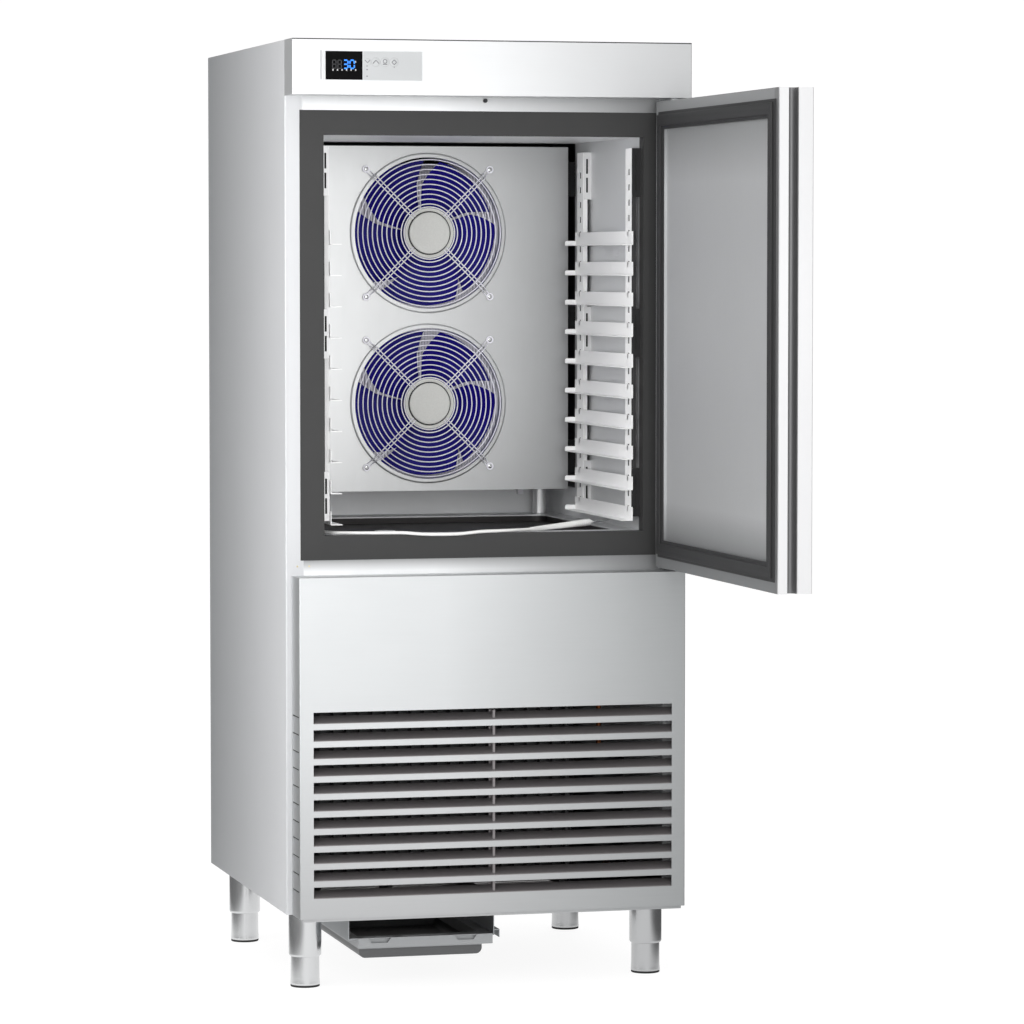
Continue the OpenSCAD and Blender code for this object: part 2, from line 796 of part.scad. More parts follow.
motor_front = -guard_stand - 0.5;         // front face of the motor's flange
motor_body_z = motor_front + 4.5;         // where the motor's body starts behind its flange
motor_back = motor_body_z + motor_l;
can_front = 8;
can_back = motor_back + 12;

// Outer-rotor motor: fixed cap, flange and body with the bore that the shaft turns in
module fan_motor() {
  difference() {
    union() {
      translate([0, 0, motor_front - 3.5]) cylinder(h = 3.5 + eps, r1 = motor_cap_r - 1.5, r2 = motor_cap_r);
      translate([0, 0, motor_front]) cylinder(h = 4.5, r = motor_flange_r);
      translate([0, 0, motor_body_z - eps]) cylinder(h = motor_l + eps, r = motor_r);
    }
    translate([0, 0, motor_back - motor_l + 8]) cylinder(h = motor_l, r = shaft_r + shaft_clear);
  }
}

// Outline of one blade seen along the axis: swept, wide at the can, with a gap near the tip
module blade_2d() {
  step = 360 / blades;
  function at(r, a) = [r * cos(-a), r * sin(-a)];
  tip = rotor_r + 12;
  polygon([
    at(can_r - 3, step * 0.22), at(rotor_r * 0.7, step * 0.17), at(tip, step * 0.07 - 1),
    at(tip / cos(step / 4), step * 0.5), at(tip, step * 0.92),
    at(rotor_r * 0.7, step * 1.14), at(can_r - 3, step * 1.19), at(can_r - 4, step * 0.7)
  ]);
}

// Rotor: a can round the motor with its shaft, and rolled blades that its rim carries
module fan_rotor() {
  mid = -360 / blades * 0.6;
  lift = (motor_back + 12) * 0.8;
  difference() {
    union() {
      translate([0, 0, can_front]) cylinder(h = can_back - can_front, r = can_r);
      intersection() {
        translate([0, 0, can_front - 4]) cylinder(h = can_back - can_front + 8, r = rotor_r);
        for (i = [0 : blades - 1]) rotate(i * 360 / blades) intersection() {
          linear_extrude(90) blade_2d();
          rotate(mid) translate([0, camber_r * sin(blade_pitch), lift - camber_r * cos(blade_pitch)])
            rotate([0, 90, 0]) difference() {
              cylinder(h = 200, r = camber_r + blade_t, $fn = 96);
              translate([0, 0, -1]) cylinder(h = 202, r = camber_r, $fn = 96);
            }
        }
      }
    }
    translate([0, 0, can_front - 6]) cylinder(h = can_back - can_front + 2, r = can_r - 3.5);
  }
  translate([0, 0, motor_back + 0.4]) cylinder(h = can_back - motor_back - 1, r = 10);
  translate([0, 0, motor_back - motor_l + 10]) cylinder(h = motor_l, r = shaft_r);
}

module upper_fan_guard() {
  color("#eceded") facing_back([fan_x, y_baffle, fan_z[1]]) fan_guard();
}

module lower_fan_guard() {
  color("#eceded") facing_back([fan_x, y_baffle, fan_z[0]]) fan_guard();
}

module upper_fan_motor() {
  color("#cfcfcc") facing_back([fan_x, y_baffle, fan_z[1]]) fan_motor();
}

module lower_fan_motor() {
  color("#cfcfcc") facing_back([fan_x, y_baffle, fan_z[0]]) fan_motor();
}

module upper_fan_rotor() {
  color("#23204a") facing_back([fan_x, y_baffle, fan_z[1]]) rotate(fan_turn) fan_rotor();
}

module lower_fan_rotor() {
  color("#23204a") facing_back([fan_x, y_baffle, fan_z[0]]) rotate(fan_turn) fan_rotor();
}

fan_turn = -12;                   // where the blades stand

// ---- evaporator ----

module evaporator() {
  z0 = z_in + (chamber_h - coil_h) / 2;
  pitch = (coil_h - 60) / coil_bends;
  color("#c4c8cb") {
    for (i = [0 : 27]) block([-coil_w / 2 + i * (coil_w - 3) / 27, y_coil, z0 + 2],
                             [-coil_w / 2 + i * (coil_w - 3) / 27 + 3, y_coil + coil_d, z0 + coil_h - 2]);
    block([-coil_w / 2, y_coil + coil_d / 2 - 6, z0 + 6],
          [coil_w / 2, y_coil + coil_d / 2 + 6, z0 + coil_h - 6]);
    for (s = [-1, 1]) translate([s * (coil_w / 2 + 1), 0, 0])
      block([-1 - eps, y_coil, z0], [1 + eps, y_wall, z0 + coil_h]);
  }
  color(copper) both_sides() for (i = [0 : coil_bends - 1])
    translate([coil_w / 2 + 2 - eps, y_coil + coil_d / 2, z0 + 40 + pitch * (i + 0.5)]) rotate([90, 0, 0])
      rotate(-90) rotate_extrude(angle = 180) translate([bend_pipe_r, 0]) circle(4.5, $fn = 24);
}

// ---- tray racks ----

function slot_z(i) = z_in + upright_low + 9 + slot_pitch * i;
function level_z(k) = z_in + level_low + level_pitch * k;
slots = floor((upright_h - 18) / slot_pitch);
rack_x = x_in - rack_d;           // face that the slides lie on

// One slotted channel, open towards the wall, its front edge at y
module upright(y) {
  z0 = z_in + upright_low;
  difference() {
    block([rack_x, y, z0], [rack_x + upright_d, y + upright_w, z0 + upright_h]);
    block([rack_x + upright_t, y + upright_t, z0 - 1],
          [rack_x + upright_d + 1, y + upright_w - upright_t, z0 + upright_h + 1]);
    for (i = [0 : slots - 1])
      block([rack_x - 1, y + (upright_w - slot_w) / 2, slot_z(i)],
            [rack_x + upright_t + 1, y + (upright_w + slot_w) / 2, slot_z(i) + slot_w]);
  }
}

module uprights() {
  for (y = [fy + upright_front, fy + upright_rear]) upright(y);
}

module left_uprights() {
  color("#eeeeee") mirror([1, 0, 0]) uprights();
}

module right_uprights() {
  color("#eeeeee") uprights();
}

// Angle plates that hold the uprights off the wall, and angles that carry the fan baffle
module wall_brackets() {
  z0 = z_in + upright_low;
  plate_h = 95;
  heights = [0, (upright_h - plate_h) / 2, upright_h - plate_h];
  color("#e4e4e4") both_sides() for (y = [fy + upright_front, fy + upright_rear], h = heights)
    difference() {
      union() {
        block([rack_x + upright_t, y - bracket_t, z0 + h], [x_in, y, z0 + h + plate_h]);
        block([x_in - bracket_t, y - bracket_t, z0 + h], [x_in, y + 22, z0 + h + plate_h]);
      }
      for (s = [14, 52]) block([rack_x + upright_t + 4, y - bracket_t - 1, z0 + h + s],
                               [rack_x + upright_t + 8, y + 1, z0 + h + s + 30]);
    }
  color(steel) both_sides() for (i = [0 : 2]) baffle_bracket(i);
}

module baffle_bracket(i) {
  height = 70;
  run = chamber_h - baffle_low - baffle_top - 60 - height;
  z = z_in + baffle_low + 30 + i * run / 2;
  y = y_baffle + baffle_fold;
  block([x_in - baffle_side - 14, y, z], [x_in, y + 2, z + height]);
  block([x_in - 2, y, z], [x_in, y + 22, z + height]);
}

// One tray slide: a web on the uprights, a flange that the tray runs on, hooks and a rear stop
module tray_slide(z) {
  y0 = fy + upright_front - 10;
  hook_y = [fy + upright_front + upright_w / 2, fy + upright_rear + upright_w / 2];
  hook_z = slot_z(ceil((z + 2 - slot_z(0)) / slot_pitch));
  reach = max(slide_web, hook_z - z + slot_w);
  x1 = rack_x - eps;
  difference() {
    union() {
      block([x1 - slide_t, y0, z], [x1, y0 + slide_l, z + slide_web]);
      block([x1 - slide_flange, y0, z], [x1, y0 + slide_l, z + slide_t]);
      block([x1 - slide_flange, y0 + slide_l - slide_t, z], [x1, y0 + slide_l, z + 10]);
      for (y = hook_y) {
        block([x1 - slide_t, y - 3, z], [x1, y + 3, z + reach - 2]);
        block([x1 - slide_t, y - 3, hook_z + 4], [x1 + upright_t + 2, y + 3, hook_z + slot_w - 2]);
      }
    }
    translate([x1 - slide_flange - 1, y0 + slide_l - 8, z + 4]) cube([6, 10, 10]);
  }
}

module tray_slides() {
  for (k = [0 : levels - 1]) tray_slide(level_z(k));
}

module left_tray_slides() {
  color("#f0f0f0") mirror([1, 0, 0]) tray_slides();
}

module right_tray_slides() {
  color("#f0f0f0") tray_slides();
}

// ---- door ----

pivot = [half - pivot_side, front + pivot_in];
door_x = half - door_side;
door_z0 = z_sill + door_low;
door_z1 = z_head - door_up;
door_back = fy - door_clear;

// Turns a piece of the shut door about the hinge axis to where the door stands
module on_door() {
  translate([pivot[0], pivot[1], 0]) rotate(door_angle) translate([-pivot[0], -pivot[1], 0]) children();
}

// Sockets of the two hinge bushes
module bush_sockets() {
  for (z = [[door_z0 - 1, door_z0 + pin_l + 4], [door_z1 - pin_l - 4, door_z1 + 1]])
    translate([pivot[0], pivot[1], z[0]]) cylinder(h = z[1] - z[0], r = bush_r);
}

// Outer tray of the door: front sheet and folded edges
module door_skin() {
  color(silver) on_door() difference() {
    between(door_z0, door_z1) difference() {
      front_rounded_2d([-door_x, front], [door_x, door_back - door_sheet], bend_r);
      translate([-door_x - 1, front - 1]) square([grip_w + 1, front_d]);
    }
    block([-door_x + grip_w - 1, front + door_sheet, door_z0 + door_sheet],
          [door_x - door_sheet, fy, door_z1 - door_sheet]);
    bush_sockets();
  }
}

// Inner panel of the door, stepped in inside the gasket
module door_inner_panel() {
  in = gasket_in + gasket_w;
  y0 = door_back - door_sheet;
  color(steel) on_door() difference() {
    union() {
      block([-door_x + grip_w, y0, door_z0], [door_x, door_back, door_z1]);
      block([-door_x + in - door_sheet, y0 - inner_step, door_z0 + in - door_sheet],
            [door_x - in + door_sheet, y0 + eps, door_z1 - in + door_sheet]);
    }
    block([-door_x + in, y0 - inner_step + door_sheet, door_z0 + in], [door_x - in, fy, door_z1 - in]);
  }
}

module door_foam() {
  in = gasket_in + gasket_w - door_sheet;
  y1 = door_back - door_sheet;
  color("#e8d9a0") on_door() difference() {
    block([-door_x + grip_w, front + door_sheet, door_z0 + door_sheet],
          [door_x - door_sheet, y1, door_z1 - door_sheet]);
    block([-door_x + in, y1 - inner_step, door_z0 + in], [door_x - in, y1 + 1, door_z1 - in]);
    bush_sockets();
  }
}

// Square ring between two distances from the door's edge and between two planes
module door_ring(out, in, y0, y1) {
  difference() {
    block([-door_x + out, y0, door_z0 + out], [door_x - out, y1, door_z1 - out]);
    block([-door_x + in, y0 - 1, door_z0 + in], [door_x - in, y1 + 1, door_z1 - in]);
  }
}

// Magnetic gasket: a base strip with a narrower bulb on it
module door_gasket() {
  base_h = 3;
  bulb_top = fy - frame_lip - gasket_clear;
  side = (gasket_w - bulb_w) / 2;
  color(dark) on_door() {
    door_ring(gasket_in, gasket_in + gasket_w, door_back, door_back + base_h);
    door_ring(gasket_in + side, gasket_in + gasket_w - side, door_back, bulb_top);
  }
}

// Profile along the free edge with a round-bottomed finger groove over its whole height
module door_grip() {
  groove_y = door_back - groove_in - groove_w / 2;
  r = groove_w / 2;
  color(pale) on_door() between(door_z0, door_z1) difference() {
    front_rounded_2d([-door_x, front], [-door_x + grip_w, door_back], bend_r);
    translate([-door_x - 1, groove_y - r]) square([groove_d - r + 1, groove_w]);
    translate([-door_x + groove_d - r, groove_y]) circle(r);
    translate([-door_x + grip_w - bend_r, front - eps]) square([bend_r + 1, eps]);
  }
}

// Plastic bushes at the top and the bottom of the hinge edge
module hinge_bushes() {
  bush_l = pin_l + 4;
  color("#2b2b2b") on_door() for (z = [door_z0, door_z1 - bush_l]) translate([pivot[0], pivot[1], z])
    difference() {
      cylinder(h = bush_l, r = bush_r);
      translate([0, 0, z == door_z0 ? -1 : 2]) cylinder(h = bush_l - 1, r = pin_r + pin_clear);
    }
}

// Hinge bracket with its plate at z = 0, its pin upwards and its flange on the cabinet's front
module hinge_bracket(flange_h, boss_h) {
  plate_r = 14;
  x0 = pivot[0] - hinge_w / 2;
  x1 = pivot[0] + hinge_w / 2;
  difference() {
    union() {
      translate([pivot[0], pivot[1], 0]) cylinder(h = hinge_t, r = plate_r);
      block([pivot[0] - plate_r, pivot[1], 0], [pivot[0] + plate_r, fy, hinge_t]);
      block([x0, fy - hinge_flange_t, 0], [x1, fy, flange_h]);
      translate([pivot[0], pivot[1], hinge_t - eps]) cylinder(h = boss_h + eps, r = pin_r + 2.5);
      translate([pivot[0], pivot[1], hinge_t]) cylinder(h = boss_h + seat + pin_l, r = pin_r);
    }
    for (s = [-1, 1]) facing_back([pivot[0] + s * hinge_w * 0.3, fy - 9, flange_h * 0.6])
      cylinder(h = 10, r = hinge_screw_r);
  }
}

hinge_screw_r = 2.5;
hinge_gap = 1.5;                  // between the lower hinge plate and the panel under it
hinge_gap_up = 0.5;               // between the upper hinge plate and the fascia
low_flange = sill_h - hinge_gap - 3;
up_flange = head_h - 3;

module hinge_brackets() {
  color("#e2e3e4") {
    translate([0, 0, z_sill + hinge_gap])
      hinge_bracket(low_flange, door_low - hinge_gap - hinge_t - seat);
    translate([0, 0, z_head - hinge_gap_up]) mirror([0, 0, 1])
      hinge_bracket(up_flange, door_up - hinge_gap_up - hinge_t - seat);
  }
}

// Screws of the two fan guards and of the two hinge brackets
module screws() {
  head_z = guard_wire + 2 * seat;
  low = z_sill + hinge_gap + low_flange * 0.6;
  up = z_head - hinge_gap_up - up_flange * 0.6;
  color("#dcdcdc") for (z = fan_z, a = [45 : 90 : 315])
    facing_front([fan_x, y_baffle, z]) rotate(a) translate([guard_screw_r, 0, head_z])
      screw(4.6, 2.4, arm_gap / 2 - guard_wire / 2 - 0.25, head_z);
  color("#d0d0d0") for (s = [-1, 1], z = [low, up])
    facing_front([pivot[0] + s * hinge_w * 0.3, fy - hinge_flange_t, z])
      screw(4.5, 2, hinge_screw_r - 0.1, hinge_flange_t);
}

sensor_r = 4;
sensor_l = 30;
sensor_z = z_head - sheet_t - sensor_r - 1;

// Proximity sensor in the head that tells when the door is shut
module door_sensor() {
  color("#3a3a3a") facing_back([0, fy - 5, sensor_z]) cylinder(h = sensor_l, r = sensor_r);
}

// ---- condensing unit ----

cond_x = -70;                     // middle of the condenser and of its fan
cond_y = fy + 45;
cond_z = z_cab + 40;
shroud_y = cond_y + cond_d;
shroud_d = 30;
cond_fan = [cond_x, shroud_y + shroud_d + can_back + 8, cond_z + cond_h / 2];

// Finned condenser in its end plates, with return bends
module condenser_coil() {
  x0 = cond_x - cond_w / 2;
  x1 = cond_x + cond_w / 2;
  color("#7d8082") for (i = [0 : 19])
    block([x0 + 2 + i * (cond_w - 8) / 19, cond_y, cond_z + 4],
          [x0 + 6 + i * (cond_w - 8) / 19, cond_y + cond_d - eps, cond_z + cond_h - 4]);
  color("#7d8082") block([x0 + 1, cond_y + cond_d / 2 - 5, cond_z + 6],
                         [x1 - 1, cond_y + cond_d / 2 + 5, cond_z + cond_h - 6]);
  color(steel) for (x = [x0, x1 - 2])
    block([x, cond_y, z_cab + sheet_t], [x + 2, cond_y + cond_d, cond_z + cond_h]);
  color(copper) for (i = [0 : 5])
    translate([x1 - eps, cond_y + cond_d / 2, cond_z + 40 + i * (cond_h - 80) / 5])
      rotate([90, 0, 0]) rotate(-90) rotate_extrude(angle = 180) translate([12, 0]) circle(4.5, $fn = 24);
}

// Folded shroud behind the condenser, with the arms that hold the fan's motor
module condenser_shroud() {
  x0 = cond_x - cond_w / 2;
  x1 = cond_x + cond_w / 2;
  hole_r = rotor_r + 6;
  motor_y = cond_fan[1] - motor_front;
  color(steel) difference() {
    block([x0, shroud_y, cond_z], [x1, shroud_y + shroud_d, cond_z + cond_h]);
    block([x0 + 2, shroud_y - 1, cond_z + 2], [x1 - 2, shroud_y + shroud_d - 2, cond_z + cond_h - 2]);
    facing_back([cond_fan[0], shroud_y, cond_fan[2]]) cylinder(h = 50, r = hole_r);
  }
  color("#3c3c3c") for (s = [-1, 1], h = [-1, 1]) {
    block([cond_fan[0] + s * (hole_r + 12) - 6, shroud_y + shroud_d - eps, cond_fan[2] + h * 25 - 6],
          [cond_fan[0] + s * (hole_r + 12) + 6, motor_y + 3, cond_fan[2] + h * 25 + 6]);
    block([cond_fan[0] + min(s * 36, s * (hole_r + 18)), motor_y, cond_fan[2] + h * 25 - 6],
          [cond_fan[0] + max(s * 36, s * (hole_r + 18)), motor_y + 3, cond_fan[2] + h * 25 + 6]);
  }
}

module condenser_fan_motor() {
  color("#2e2e30") facing_front(cond_fan) difference() {
    fan_motor();
    translate([0, 0, motor_front - 10]) difference() {
      cylinder(h = 10, r = motor_cap_r + 10);
      translate([0, 0, -1]) cylinder(h = 12, r = 30);
    }
  }
}

module condenser_fan_rotor() {
  color("#2a2a2c") facing_front(cond_fan) fan_rotor();
}

stub_l = 10;                      // length of the compressor's pipe stubs outside its shell
comp = [suction[0] - comp_r - stub_l, fy + body_d * 0.695, z_cab + 24];
suction_h = comp_h * 0.753;       // height of the suction stub
liquid_h = comp_h * 0.52;         // height of the pressure stub

// Welded hermetic compressor: domed shell, terminal box, pipe stubs and feet on rubber mounts
module compressor() {
  h = comp_h;
  dome = 40;
  color("#232426") translate(comp) {
    rotate_extrude() difference() {
      union() {
        translate([0, dome]) square([comp_r, h - 2 * dome]);
        translate([0, dome]) intersection() {
          scale_circle(comp_r, dome);
          translate([0, -dome]) square([comp_r + 1, dome]);
        }
        translate([0, h - dome]) intersection() {
          scale_circle(comp_r, dome);
          square([comp_r + 1, dome]);
        }
      }
      translate([-comp_r - 1, -1]) square([comp_r + 1, h + 2]);
    }
    translate([0, 0, h / 2]) cylinder(h = 8, r = comp_r + 2);
    translate([-30, -comp_r - 26, h * 0.45]) cube([60, 40, 70]);
    translate([comp_r - 6, 0, suction_h]) rotate([0, 90, 0]) cylinder(h = stub_l + 6, r = suction_r + 3);
    translate([-comp_r - stub_l, 0, liquid_h]) rotate([0, 90, 0]) cylinder(h = stub_l + 6, r = liquid_r + 3);
    difference() {
      translate([-comp_r, -comp_r, 0]) cube([2 * comp_r, 2 * comp_r, 4]);
      translate([0, 0, -1]) cylinder(h = 3, r = comp_r * 0.5);
    }
    for (x = [-1, 1], y = [-1, 1]) translate([x * (comp_r - 16), y * (comp_r - 16), sheet_t - 24])
      cylinder(h = 24 - sheet_t + eps, r = 12);
  }
}

// Half-width a, half-height b: a circle arc that rises b over a half chord a
module scale_circle(a, b) {
  r = (a * a + b * b) / (2 * b);
  intersection() {
    translate([0, b - r]) circle(r, $fn = 120);
    translate([0, r - b]) circle(r, $fn = 120);
  }
}

receiver = [half - 95, fy + body_d * 0.322, z_cab + sheet_t];

module liquid_receiver() {
  color("#1f2a24") translate(receiver) {
    cylinder(h = 12, r = receiver_r * 0.8);
    translate([0, 0, 10]) rotate_extrude() rounded_2d_half(receiver_r, receiver_h - 10, 22);
  }
}

// Copper pipes from compressor to condenser, receiver and evaporator and back
module refrigerant_pipes() {
  cond_end = cond_x + cond_w / 2;
  color(copper) {
    pipe([[suction[0], suction[1], z_in + 20], [suction[0], suction[1], comp[2] + suction_h],
          [suction[0] + 14, comp[1], comp[2] + suction_h],
          [suction[0], comp[1], comp[2] + suction_h]], suction_r);
    pipe([[comp[0] - comp_r - stub_l, comp[1], comp[2] + liquid_h],
          [comp[0] - comp_r - 28, comp[1], comp[2] + liquid_h],
          [comp[0] - comp_r - 28, comp[1], z_sill - 60], [cond_end + 40, comp[1], z_sill - 60],
          [cond_end + 40, cond_y + cond_d / 2, z_sill - 60],
          [cond_end + 40, cond_y + cond_d / 2, cond_z + cond_h - 12],
          [cond_end, cond_y + cond_d / 2, cond_z + cond_h - 12]], liquid_r);
    pipe([[cond_end, cond_y + cond_d / 2, cond_z + 12], [receiver[0], cond_y + cond_d / 2, cond_z + 12],
          [receiver[0], receiver[1] - receiver_r, cond_z + 12]], liquid_r);
    pipe([[receiver[0], receiver[1], receiver[2] + receiver_h], [receiver[0], receiver[1], z_sill - 90],
          [liquid[0], liquid[1], z_sill - 90], [liquid[0], liquid[1], z_in + 20]], liquid_r);
  }
}

// Half of a rounded rectangle, to be revolved into a drum with rounded ends
module rounded_2d_half(r, h, edge) {
  square([r - edge, h]);
  translate([0, edge]) square([r, h - 2 * edge]);
  for (y = [edge, h - edge]) translate([r - edge, y]) circle(edge);
}

// ---- legs ----

nut_z = leg_h - 45;               // underside of the threaded plate inside a leg

// Upper tube of a leg: chamfered mouth, bore for the foot, threaded plate and a closed top
module leg_tube() {
  r = leg_d / 2;
  z0 = leg_h - sleeve_l;
  difference() {
    union() {
      translate([0, 0, z0]) cylinder(h = 4, r1 = foot_d / 2 + 2, r2 = r);
      translate([0, 0, z0 + 4 - eps]) cylinder(h = sleeve_l - 4 + eps, r = r);
    }
    translate([0, 0, z0 - 1]) cylinder(h = nut_z - z0 + 1, r = foot_d / 2 + seat);
    translate([0, 0, nut_z - 1]) cylinder(h = leg_h - nut_z - 3, r = stem_r + 0.06);
  }
}

module leg_tubes() {
  color("#d2d3d4") for (x = [-foot_x, foot_x], y = [-foot_y, foot_y]) translate([x, y, 0]) leg_tube();
}

// Foot: rubber pad, tube that slides in the leg, and the stem in the threaded plate
module foot(x, y) {
  r = foot_d / 2;
  translate([x, y, 0]) {
    color("#1c1c1c") cylinder(h = pad_h + eps, r = pad_r);
    color("#d2d3d4") {
      translate([0, 0, pad_h]) cylinder(h = 34, r1 = r + 1, r2 = r);
      translate([0, 0, pad_h + 34 - eps]) cylinder(h = nut_z - seat - pad_h - 34, r = r);
      translate([0, 0, nut_z - 1]) cylinder(h = 41, r = stem_r);
    }
  }
}

pad_r = foot_d / 2 + 0.5;

module foot_front_left() {
  foot(-foot_x, -foot_y);
}

module foot_front_right() {
  foot(foot_x, -foot_y);
}

module foot_rear_left() {
  foot(-foot_x, foot_y);
}

module foot_rear_right() {
  foot(foot_x, foot_y);
}

// ---- condensate tray ----

rim_z = z_cab - tray_drop;        // underside of the tray's rim
tray_y = fy + tray_front;
tray_x0 = -tray_x;
tray_x1 = tray_x0 + tray_w;

// Two hangers under the cabinet whose folded lips carry the tray's rims
module tray_rails() {
  color("#a9abad") {
    tray_rail(tray_x0 - tray_rim - 3, 1);
    tray_rail(tray_x1 + tray_rim + 3, -1);
    // hooked end of the right hanger
    translate([tray_x1 + tray_rim, tray_y, rim_z]) {
      block([3, 0, 8], [14, 40, 8 + tray_t]);
      block([14 - tray_t, 0, -6], [14, 40, 9]);
    }
  }
}

// One hanger: top fold on the cabinet, web, and lip towards the tray, behind the tray's front plate
module tray_rail(x, side) {
  lip = tray_rim - 4;
  lip_y = tray_y + 4;
  block([min(x, x + side * tray_t), tray_y, rim_z - seat - tray_t],
        [max(x, x + side * tray_t), tray_y + tray_l, z_cab]);
  block([min(x, x + side * lip), lip_y, rim_z - seat - tray_t],
        [max(x, x + side * lip), tray_y + tray_l, rim_z - seat]);
  block([min(x, x - side * 18), tray_y, z_cab - tray_t], [max(x, x - side * 18), tray_y + tray_l, z_cab]);
}

// Sheet tray: basin with rounded edges, side rims, and a notched front plate
module condensate_tray() {
  r = 12;
  z0 = rim_z - tray_h;
  color("#8f9193") union() {
    difference() {
      tray_shape(0, z0, r);
      tray_shape(tray_t, z0, r);
    }
    difference() {
      block([tray_x0 - tray_rim, tray_y + 2, rim_z], [tray_x1 + tray_rim, tray_y + tray_l, rim_z + tray_t]);
      block([tray_x0 + tray_t, tray_y + 30, rim_z - 1], [tray_x1 - tray_t, tray_y + tray_l - 14, rim_z + 5]);
      for (s = [[10, 72], [88, 176]])
        block([tray_x0 + s[0], tray_y + 12, rim_z - 1], [tray_x0 + s[1], tray_y + 18, rim_z + 5]);
    }
    difference() {
      block([tray_x0 - 3, tray_y, rim_z - 18], [tray_x1 + tray_rim, tray_y + 2 + eps, rim_z + tray_t]);
      for (x = [0.16, 0.86]) translate([tray_x0 + tray_w * x, tray_y - 1, rim_z + tray_t]) rotate([-90, 0, 0])
        linear_extrude(5) polygon([[-24, -1], [-16, 10], [16, 10], [24, -1]]);
    }
  }
}

// Solid form of the basin, drawn in by a sheet thickness
module tray_shape(in, z0, r) {
  y0 = tray_y + 8;
  depth = tray_l - 16;
  translate([0, y0 + in, 0]) rotate([-90, 0, 0]) linear_extrude(depth - 2 * in) difference() {
    rounded_2d([tray_x0 + in, -rim_z - tray_h - 30], [tray_x1 - in, -z0 - in], r - in);
    translate([tray_x0 - 1, -rim_z - tray_h - 40]) square([tray_w + 2, tray_h + 40 - (in > 0 ? 5 : 0) - eps]);
  }
}

// ---- core probe ----

gland_r = 9;
gland_l = 14;
gland_drop = 22;                  // from the gland's axis down to where the cable leaves it
shank_r = 6;
gland_in = 330;                   // distance of the gland from the cabinet's front plane
gland_h = chamber_h * 0.48;       // its height above the floor
gland = [-x_in, fy + gland_in, z_in + gland_h];
probe_a = [97, fy + 25, z_in + 5];
probe_b = [236, fy + 90, z_in + 13.5];
cable_r = cable_d / 2;

// Hole for the probe's gland through the left wall
module gland_hole(r) {
  translate(gland - [30, 0, 0]) rotate([0, 90, 0]) cylinder(h = 40, r = r);
}

// Down the left wall from the gland; x from the wall, y from the cabinet's front, z from the floor
wall_points = [
  [7.5, gland_in, gland_h - gland_drop], [7.5, gland_in, gland_h * 0.68], [7.5, gland_in, gland_h * 0.41],
  [7.5, gland_in, 70], [7.5, gland_in - 1, 34], [7.5, gland_in - 9, 13], [7.5, gland_in - 30, 4],
  [9, 240, 3.8], [10, 150, 3.8], [11, 80, 3.8]
];

// Along the front edge to the handle; x from the middle, y from the cabinet's front, z from the floor
sill_points = [
  [-300, 50, 3.8], [-283, 27, 3.8], [-247, 8, 3.8], [-200, 1, 3.9], [-178, -1, 4], [-160, -3, 3.6],
  [-142, -4.5, 2], [-110, -5, 0], [-60, -5, 0], [-30, -4.5, 2], [-12, -3, 3.6], [4, -1, 4.1],
  [28, 3, 4.3], [62, 11, 4.6]
];
cable_route = concat(
  [for (p = wall_points) p + [-x_in, fy, z_in]], [for (p = sill_points) p + [0, fy, z_in]], [probe_a]
);

function unit(v) = v / norm(v);

// Point on the smooth curve through p, at a share t of the run that starts at point i
function on_curve(p, i, t) =
  let (a = p[max(i - 1, 0)], b = p[i], c = p[i + 1], d = p[min(i + 2, len(p) - 1)])
  0.5 * (2 * b + (c - a) * t + (2 * a - 5 * b + 4 * c - d) * t * t + (3 * b - a - 3 * c + d) * t * t * t);

// Round cord swept through the points of a route, its ends square to the two given directions
module cord(route, r, first_dir, last_dir) {
  sides = 12;
  runs = [for (i = [0 : len(route) - 2]) max(1, round(norm(route[i + 1] - route[i]) / 17))];
  path = concat(
    [for (i = [0 : len(route) - 2], k = [0 : runs[i] - 1]) on_curve(route, i, k / runs[i])],
    [route[len(route) - 1]]
  );
  last = len(path) - 1;
  dirs = concat([first_dir], [for (i = [1 : last - 1]) unit(path[i + 1] - path[i - 1])], [last_dir]);
  ups = [for (i = 0, u = [0, 1, 0]; i <= last;
              i = i + 1, u = i <= last ? unit(u - (u * dirs[i]) * dirs[i]) : u) u];
  rings = [for (i = [0 : last], k = [0 : sides - 1])
    path[i] + r * (cos(360 * k / sides) * ups[i] + sin(360 * k / sides) * cross(dirs[i], ups[i]))];
  walls = [for (i = [0 : last - 1], k = [0 : sides - 1], lower = [true, false])
    let (a = i * sides + k, b = i * sides + (k + 1) % sides)
    lower ? [a, b + sides, b] : [a, a + sides, b + sides]];
  ends = [[for (k = [0 : sides - 1]) k], [for (k = [sides - 1 : -1 : 0]) last * sides + k]];
  polyhedron(rings, concat(walls, ends));
}

// Elbow gland: a shank in the wall, a cap, and a downward neck that the cable leaves
module probe_gland() {
  color("#e9e9e6") translate(gland) {
    rotate([0, 90, 0]) {
      translate([0, 0, -28]) cylinder(h = 28 + eps, r = shank_r);
      cylinder(h = 3, r = gland_r + 2);
      cylinder(h = gland_l, r = gland_r);
    }
    translate([7.5, 0, -gland_drop]) cylinder(h = gland_drop, r = cable_r + 2.2);
  }
}

module probe_cable() {
  color("#f2f2f0") cord(cable_route, cable_r, [0, 0, -1], unit(probe_b - probe_a));
}

// Turns local Z along the probe's axis, at its thin end
module along_probe() {
  d = probe_b - probe_a;
  translate(probe_a) rotate([0, acos(d[2] / norm(d)), atan2(d[1], d[0])]) children();
}

probe_l = norm(probe_b - probe_a);
ferrule_l = 7;

